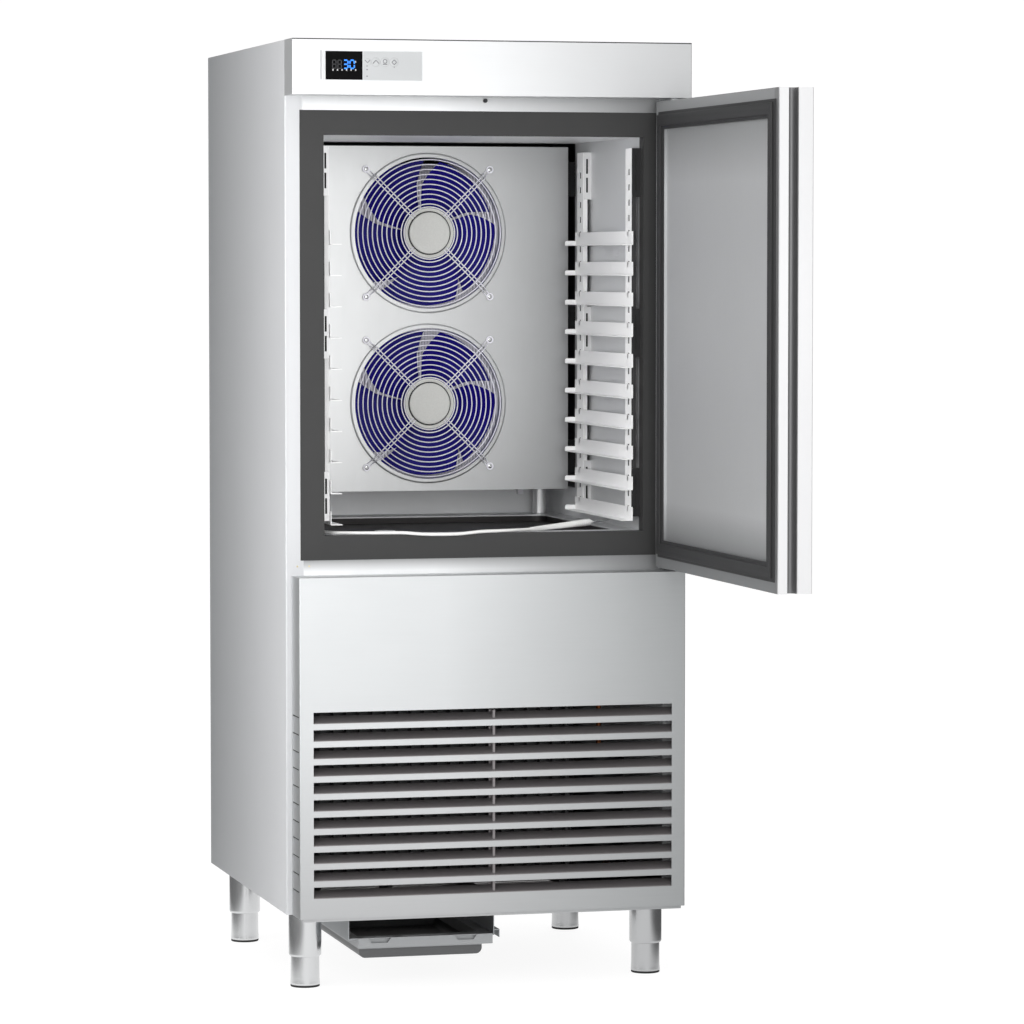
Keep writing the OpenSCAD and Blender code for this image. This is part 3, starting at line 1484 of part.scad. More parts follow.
module probe_handle() {
  color("#f4f4f2") along_probe() {
    cylinder(h = 10, r = cable_r + 0.6);
    cylinder(h = probe_l - 3, r1 = cable_r + 0.4, r2 = probe_r);
    translate([0, 0, probe_l - 3 - eps]) cylinder(h = 3, r1 = probe_r, r2 = probe_r - 2);
    translate([0, 0, probe_l - eps]) cylinder(h = ferrule_l, r = needle_r + 2);
  }
}

module probe_needle() {
  color("#c8c8c8") along_probe() translate([0, 0, probe_l + ferrule_l - eps]) {
    cylinder(h = needle_l - 6, r = needle_r);
    translate([0, 0, needle_l - 6 - eps]) cylinder(h = 6, r1 = needle_r, r2 = 0.4);
  }
}

left_side_panel();
right_side_panel();
rear_panel();
rear_grille();
top_panel();
top_cover();
base_pan();
front_rails();
door_frame();
cell_plates();
insulation();
chamber_liner();
drain_pipe();
fascia();
controller_housing();
display_window();
keypad_film();
electrical_box();
lower_panel();
louvre_blades();
fan_baffle();
upper_fan_guard();
lower_fan_guard();
upper_fan_motor();
lower_fan_motor();
upper_fan_rotor();
lower_fan_rotor();
evaporator();
left_uprights();
right_uprights();
wall_brackets();
left_tray_slides();
right_tray_slides();
hinge_brackets();
screws();
door_sensor();
door_skin();
door_inner_panel();
door_foam();
door_gasket();
door_grip();
hinge_bushes();
condenser_coil();
condenser_shroud();
condenser_fan_motor();
condenser_fan_rotor();
compressor();
liquid_receiver();
refrigerant_pipes();
leg_tubes();
foot_front_left();
foot_front_right();
foot_rear_left();
foot_rear_right();
tray_rails();
condensate_tray();
probe_gland();
probe_cable();
probe_handle();
probe_needle();
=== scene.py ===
# %% [markdown]
# # A blast chiller in stainless steel
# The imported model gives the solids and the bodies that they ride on. This lesson dresses them: it
# gives each finish its own procedural material, replaces the pieces that a camera comes close to,
# and sets up a plain studio. All lengths are in metres, in the model's own frame: X to the right,
# Y to the back, Z up from the floor.

# %% Load the model
import math

import bmesh
import bpy
from mathutils import Matrix, Vector


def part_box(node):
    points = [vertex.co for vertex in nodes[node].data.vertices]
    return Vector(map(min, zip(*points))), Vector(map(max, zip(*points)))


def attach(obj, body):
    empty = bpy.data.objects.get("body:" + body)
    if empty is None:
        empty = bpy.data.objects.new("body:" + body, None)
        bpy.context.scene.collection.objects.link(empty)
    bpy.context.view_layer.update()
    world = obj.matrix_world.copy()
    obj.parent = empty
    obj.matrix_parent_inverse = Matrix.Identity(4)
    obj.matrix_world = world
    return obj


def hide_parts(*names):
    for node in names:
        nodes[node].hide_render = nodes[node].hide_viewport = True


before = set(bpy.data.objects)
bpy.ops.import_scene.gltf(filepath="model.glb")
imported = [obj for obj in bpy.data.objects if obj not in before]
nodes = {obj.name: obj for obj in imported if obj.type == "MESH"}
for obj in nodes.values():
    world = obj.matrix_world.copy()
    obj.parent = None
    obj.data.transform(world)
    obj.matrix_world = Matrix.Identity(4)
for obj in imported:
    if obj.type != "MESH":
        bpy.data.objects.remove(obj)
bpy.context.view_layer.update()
MM = 0.001

# %% [markdown]
# Almost everything below is worked out from the corners of a few solids. The rails' faces lie on
# the cabinet's front plane, the liner's upper floor is the chamber's floor, and the fan motors give
# the fans' axes.

# %% Planes and axes of the cabinet
rail_low, rail_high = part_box("front_rails")
front_y = rail_low.y
liner_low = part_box("chamber_liner")[0]
baffle_low, baffle_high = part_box("fan_baffle")


def put(name, data):
    """A new object in the scene."""
    made = bpy.data.objects.new(name, data)
    bpy.context.scene.collection.objects.link(made)
    return made


def in_mm(rows, origin=(0, 0)):
    """Rows of millimetres as metres from an origin. One number more than the origin has is a length."""
    return [tuple(value * MM + start for value, start in zip(row, tuple(origin) + (0,))) for row in rows]


def middle(node):
    low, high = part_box(node)
    return (low + high) / 2


print("front plane", round(front_y, 4), "upper fan", middle("upper_fan_motor"))

# %% [markdown]
# ## The camera
# The photograph was taken from the front left with a long lens, a little above the door's middle.
# The camera stands about nine metres away, so upright edges hardly lean.

# %% Camera
CAMERA_PLACE = (-2.1286, -8.6884, 1.4016)
CAMERA_LENS_MM = 155.86
camera_data = bpy.data.cameras.new("camera")
camera_data.lens = CAMERA_LENS_MM
camera_data.sensor_width = 36
camera_data.clip_end = 100
camera = put("camera", camera_data)
camera.location = CAMERA_PLACE
camera.rotation_euler = [math.radians(a) for a in (86.807, 0, -14.696)]
bpy.context.scene.camera = camera
print("camera at", CAMERA_PLACE)

# %% [markdown]
# ## Node helpers
# Materials and geometry trees are both node trees, so one function adds a node to either, with its
# settings and its links. Colours are written as they look on a screen and turned to linear values.


# %% Node and colour helpers
def add(tree, kind, links=None, **settings):
    """Adds a node. links maps an input's name or number to a value, an output, or a node's first output."""
    node = tree.nodes.new(kind)
    for name, value in settings.items():
        setattr(node, name, value)
    for name, value in (links or {}).items():
        value = value.outputs[0] if isinstance(value, bpy.types.Node) else value
        if isinstance(value, bpy.types.NodeSocket):
            tree.links.new(value, node.inputs[name])
        else:
            node.inputs[name].default_value = value
    return node


def linear(code):
    """#rrggbb as it looks on a screen, as a linear colour with full alpha."""
    parts = [int(code[i : i + 2], 16) / 255 for i in (1, 3, 5)]
    return tuple(p / 12.92 if p <= 0.04045 else ((p + 0.055) / 1.055) ** 2.4 for p in parts) + (1,)


def bare(made):
    """The emptied node tree of a new material or world."""
    made.use_nodes = True
    made.node_tree.nodes.clear()
    return made.node_tree


print("red reads as", linear("#ff0000"))

# %% [markdown]
# ## One way to build a finish
# A real surface is never one flat colour. Every finish here has the same three layers: a broad soft
# noise that moves between two near colours, as rolled sheet and moulded plastic do; a fine noise
# that moves the roughness; and the same fine noise as a shallow bump. A satin metal has a grain, so
# its fine noise is drawn out along one axis. Noise on Object coordinates stays on the piece when
# the piece moves.


# %% A finish of two colours and a fine texture
def finish(name, first, second, rough, fine, depth, patch, metallic=0.0):
    """fine is the texture's size along X, Y and Z, depth its depth, patch the broad noise's size."""
    made = bpy.data.materials.new(name)
    tree = bare(made)
    shader = add(tree, "ShaderNodeBsdfPrincipled")
    add(tree, "ShaderNodeOutputMaterial", {"Surface": shader})
    place = add(tree, "ShaderNodeTexCoord").outputs["Object"]
    broad = add(tree, "ShaderNodeTexNoise", {"Vector": place, "Scale": 1 / patch, "Detail": 2.0})
    colours = {0: broad, 6: linear(first), 7: linear(second)}
    colour = add(tree, "ShaderNodeMix", colours, data_type="RGBA")
    squeezed = add(tree, "ShaderNodeMapping", {"Vector": place, "Scale": [1 / size for size in fine]})
    texture = add(tree, "ShaderNodeTexNoise", {"Vector": squeezed, "Scale": 1.0, "Detail": 3.0})
    span = {"From Min": 0.3, "From Max": 0.7, "To Min": rough[0], "To Max": rough[1]}
    gloss = add(tree, "ShaderNodeMapRange", {"Value": texture, **span})
    relief = add(tree, "ShaderNodeBump", {"Height": texture, "Distance": depth, "Strength": 0.5})
    tree.links.new(colour.outputs[2], shader.inputs["Base Color"])
    tree.links.new(gloss.outputs["Result"], shader.inputs["Roughness"])
    tree.links.new(relief.outputs["Normal"], shader.inputs["Normal"])
    shader.inputs["Metallic"].default_value = metallic
    return made


print("a finish has 3 layers")

# %% [markdown]
# ## Stainless steel, brushed
# The panels are chromium-nickel steel with a satin finish: the sheet is ground along one direction,
# so it has fine parallel scratches. They stretch reflections across the grain and leave the colour
# nearly even. The scratches are real at about a tenth of a millimetre; here they are drawn a few
# times coarser so that they show. Wide cabinet fronts are ground crosswise, narrow uprights
# lengthwise.

# %% Brushed steel
GRAIN_ACROSS = 0.7 * MM
GRAIN_ALONG = 90 * MM
SCRATCH_DEPTH = 0.02 * MM
ROLLED_PATCH = 240 * MM


def brushed_steel(name, first, second, along=2, rough=(0.30, 0.42), metallic=1.0):
    """Steel ground along an axis: 0 for X, 1 for Y, 2 for Z."""
    size = [GRAIN_ACROSS] * 3
    size[along] = GRAIN_ALONG
    return finish(name, first, second, rough, size, SCRATCH_DEPTH, ROLLED_PATCH, metallic)


# Two colours, the axis of the grain, the least roughness, and how much of a mirror the piece is. All are one
# satin steel, and the colours that differ from piece to piece are painted light and shade. A wide panel in the
# open looks dull and pale, and a front picks up the soft boxes. The louvre blades are painted dark grey as
# shade. What stands in the shade of the chamber, the rack and the uprights, is painted nearly white as light,
# so that its edges stay clear.
STEELS = {
    "side": ("#d8d9db", "#e0e1e3", 2, 0.5, 0.35),
    "front": ("#c8cacb", "#d0d2d3", 0, 0.4, 0.85),
    "door": ("#c8cacb", "#d0d2d3", 2, 0.4, 0.75),
    "fascia": ("#d6d7d8", "#dcddde", 0, 0.4, 0.8),
    "stile": ("#e0e1e2", "#e6e7e8", 2, 0.4, 0.7),
    "lining": ("#dadbdc", "#e2e3e4", 2, 0.4, 0.5),
    "baffle": ("#e4e5e5", "#eaebeb", 2, 0.4, 0.7),
    "door_inside": ("#b8b9ba", "#bebfc0", 2, 0.45, 0.5),
    "grip": ("#dededf", "#e4e4e5", 2, 0.4, 0.6),
    "rack": ("#fafafa", "#fdfdfd", 2, 0.45, 0.1),
    "upright": ("#fafafa", "#fdfdfd", 2, 0.45, 0.1),
    "bracket": ("#dededf", "#e6e6e6", 2, 0.45, 0.6),
    "louvre": ("#7e7a7b", "#878384", 0, 0.4, 0.7),
    "tray": ("#a2a4a6", "#aaacad", 0, 0.4, 0.5),
}
steel = {}
for name, (first, second, along, rough, metallic) in STEELS.items():
    steel[name] = brushed_steel("satin_steel_" + name, first, second, along, (rough, rough + 0.1), metallic)
galvanised = brushed_steel("galvanised_steel", "#9c9fa2", "#aeb1b3", rough=(0.4, 0.6))
print("steels", len(bpy.data.materials))

# %% [markdown]
# ## A colour that changes along the piece
# Most of these changes are painted light and shade: a panel painted darker where the light falls off to one
# side or to the back, dark bands painted where shadow falls under the fascia, behind the baffle and the door
# frame, and at the top and bottom of the door's inside, and the chamber's pressed pan and the grip's deep
# groove painted dark as shade. The copper pipe's change to its foil sleeve further down is its own colour. All
# are the same thing to build: a second colour that comes in along one axis of the piece.


# %% Second colours along an axis
def shader_of(material):
    """The surface shader of a finish."""
    return next(node for node in material.node_tree.nodes if node.type == "BSDF_PRINCIPLED")


def tint(material, axis, start, full, code, also=None):
    """Turns a finish to another colour along X, Y or Z: not at all at start, wholly at full."""
    tree, shader = material.node_tree, shader_of(material)
    before = shader.inputs["Base Color"].links[0].from_socket
    place = add(tree, "ShaderNodeTexCoord").outputs["Object"]
    apart = add(tree, "ShaderNodeSeparateXYZ", {"Vector": place}).outputs
    share = 1.0
    for name, low, high in [(axis, start, full)] + ([also] if also else []):
        part = add(tree, "ShaderNodeMapRange", {"Value": apart[name], "From Min": low, "From Max": high})
        share = add(tree, "ShaderNodeMath", {0: share, 1: part}, operation="MULTIPLY")
    colours = {0: share, 6: before, 7: linear(code)}
    mixed = add(tree, "ShaderNodeMix", colours, data_type="RGBA")
    tree.links.new(mixed.outputs[2], shader.inputs["Base Color"])


grip_low, grip_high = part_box("door_grip")
tray_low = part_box("condensate_tray")[0]
door_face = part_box("door_skin")[1].x
fascia_low, fascia_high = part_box("fascia")
chamber_floor = liner_low.z + 15 * MM
fascia_front = ("Y", fascia_low.y + 2 * MM, fascia_low.y + 1 * MM)
over_baffle_foot = ("Z", baffle_low.z - 1 * MM, baffle_low.z + 2 * MM)
right_half = ("X", 0.0, 0.1)
HEAD_RAIL = (1.699, 1.723)
SILL_RAIL = (0.812, 0.836)
# Painted light and shade, one rule a line: the piece, the axis, where it starts, where it is full, the colour,
# and a second axis that limits it.
PAINTED_SHADE_AND_LIGHT = [
    # Side panels: painted shade, darker to the back, and a shade painted on the front flange.
    ("side", "Y", front_y, baffle_high.y + 0.25, "#a6a8aa"),  # painted shade, darker to the back
    ("side", "Y", front_y + 1.4 * MM, front_y + 0.6 * MM, "#d2d3d5"),  # its flange in front
    # Lower panel and hinge brackets: painted shade, darker towards the bottom and to the right.
    ("front", "Z", 0.5, 0.15, "#b6b7b8"),
    ("front", "X", -0.1, 0.38, "#a2a4a5"),
    # Fascia: painted shade, darker to the right and on its top fold at the front; painted light on its left
    # return.
    ("fascia", "X", 0.0, 0.4, "#c8c9ca"),
    ("fascia", "X", -0.394, -0.3948, "#e4e5e6"),  # its left return
    ("fascia", "Z", fascia_high.z - 2.6 * MM, fascia_high.z - 1.6 * MM, "#3a3b3c", fascia_front),
    # Rails and top: painted shadow under the fascia on the head rail, painted shade on the sill rail, and
    # darker to the right.
    ("stile", "Z", *HEAD_RAIL, "#c0c1c2"),
    ("stile", "Z", *SILL_RAIL, "#8e8f90", ("Z", 1.0, 0.9)),
    ("stile", "X", -0.1, 0.36, "#8e8f90"),
    # Baffle: painted shade, darker to the right.
    ("baffle", "X", -0.2, baffle_high.x, "#9fa0a1"),
    # Brackets and the right front upright: painted shade, black behind the baffle and dark on the front faces
    # at the right, behind the door frame.
    ("bracket", "Y", baffle_high.y - 12 * MM, baffle_high.y - 2 * MM, "#161617"),  # behind the baffle
    ("bracket", "Y", baffle_low.y - 0.4, baffle_low.y - 0.42, "#2c2c2d", right_half),
    ("upright", "Y", rail_high.y + 2.5 * MM, rail_high.y + 1.5 * MM, "#2c2c2d", right_half),
    # Door's inside: painted shade, darker at the bottom and at the top.
    ("door_inside", "Z", grip_low.z + 0.13, grip_low.z + 0.04, "#7c7d7e"),
    ("door_inside", "Z", grip_high.z - 0.16, grip_high.z - 0.03, "#8e8f90"),
    # Lining: painted shade, near black behind the baffle and dark beside the right front upright; the pressed
    # pan in the floor is painted dark as shade.
    ("lining", "Y", baffle_high.y, baffle_high.y + 6 * MM, "#1b1b1c", over_baffle_foot),
    ("lining", "Y", rail_high.y + 6 * MM, rail_high.y + 2 * MM, "#4c4c4d", ("X", 0.3, 0.318)),
    ("lining", "Z", chamber_floor - 1 * MM, chamber_floor - 3 * MM, "#2f2d2d"),  # the pressed pan
    # Grip: its groove painted dark as shade.
    ("grip", "Y", grip_low.y + 1 * MM, grip_low.y + 8 * MM, "#7a7a7b"),  # the groove
    # Tray: painted shade under its lip.
    ("tray", "Z", tray_low.z + 18 * MM, tray_low.z + 17 * MM, "#606162"),  # under its lip
    # Door: its outer face painted darker as shade.
    ("door", "X", door_face - 3 * MM, door_face - 1 * MM, "#9a9b9d"),  # the outer face
]
for name, *rule in PAINTED_SHADE_AND_LIGHT:
    tint(steel[name], *rule)
print("tints", len(PAINTED_SHADE_AND_LIGHT), "chamber floor at", round(chamber_floor, 4))

# %% [markdown]
# ## Polished steel
# Legs, wires, screws and the needle are drawn or turned and then polished or plated, so their
# reflections are sharper, with only a trace of the drawing marks along their length.

# %% Polished steel
polished_tube = brushed_steel("polished_steel_tube", "#d2d3d4", "#dadbdc", rough=(0.16, 0.24))
# Painted shade: polished steel turns darker towards the right, on the right legs and feet.
tint(polished_tube, "X", 0.2, 0.36, "#b0b1b2")
# The wire's faint lavender is a painted reflection of the blue fan blades.
plated_wire = brushed_steel("coated_wire", "#f6f4ff", "#fbfaff", rough=(0.25, 0.35), metallic=0.2)

# %% [markdown]
# ## Plastics and rubber
# The frame is extruded grey PVC and the gasket is soft PVC; both are matt with a faint grain from
# the die. The fan is glass-filled polyamide, blue-black and a little shiny. Handle and cable of the
# probe are white silicone and polymer that is safe with food. Moulds are spark-eroded, which
# leaves a fine even grit; it is drawn at just under a millimetre.


# %% Plastics
def plastic(name, first, second, rough, grit=0.8 * MM, depth=0.02 * MM, patch=60 * MM):
    """A moulded, cast or painted surface with an even grit."""
    return finish(name, first, second, (rough - 0.05, rough + 0.05), [grit] * 3, depth, patch)


frame_pvc = plastic("extruded_pvc_frame", "#2b2b2b", "#303030", 0.55)
gasket_pvc = plastic("soft_pvc_gasket", "#212122", "#272728", 0.65)
fan_polyamide = plastic("polyamide_fan", "#12057a", "#1e0e94", 0.45)
shader_of(fan_polyamide).inputs["Specular IOR Level"].default_value = 0.2
black_polyamide = plastic("polyamide_black", "#1b1b1d", "#252528", 0.5)
white_polymer = plastic("white_probe_polymer", "#f0f0ee", "#f7f7f5", 0.4)
controller_abs = plastic("abs_controller", "#d6d8da", "#dddfe0", 0.45)
keypad_polyester = plastic("polyester_keypad", "#bec0c1", "#c4c6c7", 0.45)
foot_rubber = plastic("rubber_foot", "#141414", "#1d1d1d", 0.75)
foam_yellow = plastic("polyurethane_foam", "#d9c98f", "#e8d9a6", 0.85, grit=2 * MM, depth=0.3 * MM)
black_enamel_and_shade = plastic("black_enamel_and_shade", "#1a1b1d", "#232427", 0.4)
cast_grit = {"grit": 1.6 * MM, "depth": 0.08 * MM, "patch": 3 * MM}
motor_cast = plastic("cast_aluminium_motor", "#dededa", "#ecece8", 0.5, **cast_grit)
print("materials", len(bpy.data.materials))

# %% [markdown]
# ## Metals of the cold circuit
# Copper pipes are drawn bright and dull within weeks to a warm brown. Where they pass through the
# chamber they are sleeved in foil, so the colour turns to silver above the cell's floor. The fins
# are thin aluminium strip, which stays pale.

# %% Copper, foil and aluminium
copper_pipe = brushed_steel("copper_pipe", "#a8633c", "#c07a4c", rough=(0.3, 0.5))
foil = brushed_steel("foil_sleeve", "#f0f0f1", "#f6f6f6", rough=(0.3, 0.4), metallic=0.6)
fin_aluminium = brushed_steel("aluminium_fins", "#ecebf0", "#f4f3f8", rough=(0.4, 0.55), metallic=0.3)
tint(copper_pipe, "Z", liner_low.z - 2 * MM, liner_low.z, "#dcdddf")
print("sleeve from", round(liner_low.z, 4))

# %% [markdown]
# ## The display
# A black window of smoked acrylic lies over the light-emitting digits. It is glossy and nearly
# black, with the faintest smudges. The digits glow in one blue; the glow is a little uneven, as
# light from a diode behind a diffuser is.

# %% Display window and its light
window_acrylic = plastic("smoked_acrylic_window", "#020203", "#030304", 0.2, grit=12 * MM, depth=0)
shader_of(window_acrylic).inputs["Specular IOR Level"].default_value = 0.03
digit_light = plastic("blue_digits", "#1568d8", "#2b86f0", 0.4, patch=8 * MM)
digit_inputs = shader_of(digit_light).inputs
digit_colour = digit_inputs["Base Color"].links[0].from_socket
digit_light.node_tree.links.new(digit_colour, digit_inputs["Emission Color"])
digit_inputs["Emission Strength"].default_value = 1.0
digit_unlit = plastic("unlit_digits", "#26262a", "#2e2e32", 0.4)
mark_white = plastic("white_marks", "#b4b4b6", "#c2c2c4", 0.5)
mark_grey = plastic("grey_marks", "#6c6c70", "#78787c", 0.5)
mark_pale = plastic("pale_marks", "#a6a6a9", "#aeaeb1", 0.5)
print("display materials ready")

# %% [markdown]
# ## Finishes of the solids
# A solid whose shape is right stays as it is and only gets its finish.

# %% Dress the solids
FINISHES = [
    (steel["side"], "left_side_panel right_side_panel"),
    (galvanised, "rear_panel rear_grille cell_plates tray_rails"),
    (steel["stile"], "front_rails top_panel top_cover"),
    (steel["fascia"], "fascia"),
    (steel["front"], "lower_panel hinge_brackets"),
    (steel["door"], "door_skin"),
    (steel["grip"], "door_grip"),
    # The louvre blades and the base pan take a dark grey steel: painted shade behind the lower panel's
    # openings.
    (steel["louvre"], "louvre_blades base_pan"),
    (frame_pvc, "door_frame"),
    (gasket_pvc, "door_gasket"),
    (foam_yellow, "insulation door_foam"),
    (steel["lining"], "chamber_liner"),
    (steel["baffle"], "fan_baffle"),
    (steel["upright"], "left_uprights right_uprights"),
    (steel["rack"], "left_tray_slides right_tray_slides"),
    (steel["bracket"], "wall_brackets"),
    (steel["door_inside"], "door_inner_panel"),
    (steel["tray"], "condensate_tray"),
    (polished_tube, "leg_tubes screws probe_needle"),
    (polished_tube, "foot_front_left foot_front_right foot_rear_left foot_rear_right"),
    (plated_wire, "upper_fan_guard lower_fan_guard"),
    (motor_cast, "upper_fan_motor lower_fan_motor"),
    (fan_polyamide, "upper_fan_rotor lower_fan_rotor"),
    (black_polyamide, "condenser_fan_rotor condenser_fan_motor hinge_bushes door_sensor"),
    (fin_aluminium, "evaporator"),
    # The condenser coil and its shroud are painted black as shade seen through the louvres; the compressor and
    # the receiver are black enamel.
    (black_enamel_and_shade, "compressor liquid_receiver condenser_coil condenser_shroud"),
    (copper_pipe, "refrigerant_pipes"),
    (controller_abs, "controller_housing electrical_box drain_pipe"),
    (window_acrylic, "display_window"),
    (keypad_polyester, "keypad_film"),
    (white_polymer, "probe_gland probe_cable probe_handle"),
]
for material, names in FINISHES:
    for name in names.split():
        nodes[name].data.materials.clear()
        nodes[name].data.materials.append(material)
print("dressed", len(nodes))

# %% [markdown]
# ## Mesh helpers
# New pieces are plain meshes that lie where the solid they stand for lies. Three small helpers are
# enough: one turns a profile round an axis, one pulls a ring of points along a path, and one puts
# the result on its body.


# %% Mesh helpers
def around(angle, radius=1.0):
    """A point's two places on a circle."""
    return radius * math.cos(angle), radius * math.sin(angle)


def outwards(mesh):
    """Turns the faces of closed shapes outwards."""
    form = bmesh.new()
    form.from_mesh(mesh)
    bmesh.ops.recalc_face_normals(form, faces=form.faces)
    form.to_mesh(mesh)
    form.free()
    return mesh


def turned(profile, place=Matrix(), steps=64):
    """Revolves (radius, height) pairs round Z. A radius of 0 becomes a closed pole."""
    points, rings, faces = [], [], []
    for radius, height in profile:
        count = 1 if radius == 0 else steps
        rings.append([len(points) + k for k in range(count)])
        for k in range(count):
            points.append(place @ Vector((*around(math.tau * k / steps, radius), height)))
    for low, high in zip(rings, rings[1:]):
        for k in range(steps):
            corners = [ring[j % len(ring)] for ring, j in ((low, k), (low, k + 1), (high, k + 1), (high, k))]
            unlike = list(dict.fromkeys(corners))
            if len(unlike) > 2:
                faces.append(unlike)
    return points, faces


def pulled(path, radius, sides=10, closed=False):
    """A round wire along a path."""
    points, faces = [], []
    count = len(path)
    side = None
    for i, here in enumerate(path):
        ahead = path[(i + 1) % count] if closed or i + 1 < count else here
        behind = path[i - 1] if closed or i > 0 else here
        along = (ahead - behind).normalized()
        side = side or (Vector((0, 0, 1)) if abs(along.z) < 0.9 else Vector((1, 0, 0)))
        side = (side - along * side.dot(along)).normalized()
        other = along.cross(side)
        for k in range(sides):
            out, up = around(math.tau * k / sides, radius)
            points.append(here + out * side + up * other)
    for i in range(count if closed else count - 1):
        for k in range(sides):
            a, b = i * sides + k, i * sides + (k + 1) % sides
            c, d = (i + 1) % count * sides + (k + 1) % sides, (i + 1) % count * sides + k
            faces.append((a, b, c, d))
    if not closed:
        faces.append(tuple(range(sides - 1, -1, -1)))
        faces.append(tuple((count - 1) * sides + k for k in range(sides)))
    return points, faces


def joined(name, *shapes):
    """One mesh of several (points, faces) shapes, each closed, with its faces outwards."""
    points, faces = [], []
    for more_points, more_faces in shapes:
        start = len(points)
        points += [tuple(point) for point in more_points]
        faces += [[start + i for i in face] for face in more_faces]
    made = bpy.data.meshes.new(name)
    made.from_pydata(points, [], faces)
    made.update()
    return outwards(made)


SHARP_EDGE = math.radians(35)


def place_piece(name, made, material, body, *stands_for):
    """Puts a mesh, or a list of shapes, on its body in place of the solids that it stands for."""
    mesh = made if isinstance(made, bpy.types.Mesh) else joined(name, *made)
    mesh.shade_smooth()
    mesh.set_sharp_from_angle(angle=SHARP_EDGE)
    mesh.materials.clear()
    mesh.materials.append(material)
    piece = put(name, mesh)
    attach(piece, body)
    if stands_for:
        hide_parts(*stands_for)
    return piece


print("helpers ready")

# %% [markdown]
# ## Geometry trees
# What repeats is made once and set out by a geometry tree: along a line, or round an axis. The
# tree's sizes are named inputs. Its result is baked to a plain mesh, so nothing is left live.


# %% Geometry trees
def new_tree(name, **sizes):
    """A geometry tree whose group inputs are a geometry, the named sizes and a material."""
    tree = bpy.data.node_groups.new(name, "GeometryNodeTree")
    face = tree.interface
    face.new_socket("Geometry", in_out="INPUT", socket_type="NodeSocketGeometry")
    for label, kind in sizes.items():
        face.new_socket(label, in_out="INPUT", socket_type="NodeSocket" + kind)
    face.new_socket("Material", in_out="INPUT", socket_type="NodeSocketMaterial")
    face.new_socket("Geometry", in_out="OUTPUT", socket_type="NodeSocketGeometry")
    return tree, add(tree, "NodeGroupInput").outputs


def close_tree(tree, given, geometry):
    """Ends a tree in plain geometry with its material."""
    real = add(tree, "GeometryNodeRealizeInstances", {"Geometry": geometry})
    painted = add(tree, "GeometryNodeSetMaterial", {"Geometry": real, "Material": given["Material"]})
    add(tree, "NodeGroupOutput", {"Geometry": painted})


def baked(tree, seed_mesh, material, **values):
    """Runs a tree on a mesh and returns the result as a plain mesh."""
    holder = put("holder", seed_mesh)
    modifier = holder.modifiers.new("tree", "NODES")
    modifier.node_group = tree
    values["Material"] = material
    for item in tree.interface.items_tree:
        if item.in_out == "INPUT" and item.name in values:
            modifier[item.identifier] = values[item.name]
    result = bpy.data.meshes.new_from_object(holder.evaluated_get(bpy.context.evaluated_depsgraph_get()))
    bpy.data.objects.remove(holder)
    return result


row_tree, row_in = new_tree("row", Count="Int", Step="Vector")
row_line = add(row_tree, "GeometryNodeMeshLine", {"Count": row_in["Count"], "Offset": row_in["Step"]})
row_set = {"Points": row_line, "Instance": row_in["Geometry"]}
close_tree(row_tree, row_in, add(row_tree, "GeometryNodeInstanceOnPoints", row_set))

round_tree, round_in = new_tree("round_an_axis", Count="Int", Turn="Float")
spots = add(round_tree, "GeometryNodeMeshLine", {"Count": round_in["Count"], "Offset": (0, 0, 0)})
factors = {0: add(round_tree, "GeometryNodeInputIndex"), 1: round_in["Turn"]}
turn_by = add(round_tree, "ShaderNodeMath", factors, operation="MULTIPLY")
turn_vector = add(round_tree, "ShaderNodeCombineXYZ", {"Z": turn_by})
round_set = {"Points": spots, "Instance": round_in["Geometry"], "Rotation": turn_vector}
close_tree(round_tree, round_in, add(round_tree, "GeometryNodeInstanceOnPoints", round_set))

ring_tree, ring_in = new_tree("wire_rings", Count="Int", First="Float", Step="Float", Wire="Float")
spots = add(ring_tree, "GeometryNodeMeshLine", {"Count": ring_in["Count"], "Offset": (0, 0, 0)})
factors = {0: add(ring_tree, "GeometryNodeInputIndex"), 1: ring_in["Step"], 2: ring_in["First"]}
ring_size = add(ring_tree, "ShaderNodeMath", factors, operation="MULTIPLY_ADD")
ring_scale = add(ring_tree, "ShaderNodeCombineXYZ", {"X": ring_size, "Y": ring_size, "Z": 1.0})
ring_one = add(ring_tree, "GeometryNodeCurvePrimitiveCircle", {"Resolution": 96, "Radius": 1.0})
ring_set = {"Points": spots, "Instance": ring_one, "Scale": ring_scale}
ring_set = add(ring_tree, "GeometryNodeInstanceOnPoints", ring_set)
ring_lines = add(ring_tree, "GeometryNodeRealizeInstances", {"Geometry": ring_set})
wire_round = add(ring_tree, "GeometryNodeCurvePrimitiveCircle", {"Resolution": 10, "Radius": ring_in["Wire"]})
ring_wires = {"Curve": ring_lines, "Profile Curve": wire_round}
close_tree(ring_tree, ring_in, add(ring_tree, "GeometryNodeCurveToMesh", ring_wires))
print("trees", [tree.name for tree in bpy.data.node_groups])

# %% [markdown]
# ## The core probe's cable
# The real cable is a limp silicone lead, 6.4 mm thick. It leaves a gland high on the left wall,
# hangs down it, runs forward along the floor and then lies across the sill to the probe's handle.
# It is one open curve with a round bevel. Its points are those of the solid, and the handles of
# each point follow its two neighbours, so that the curve is the same smooth one. The last three
# points lie inside the handle, where the real lead is soldered to the sensor.

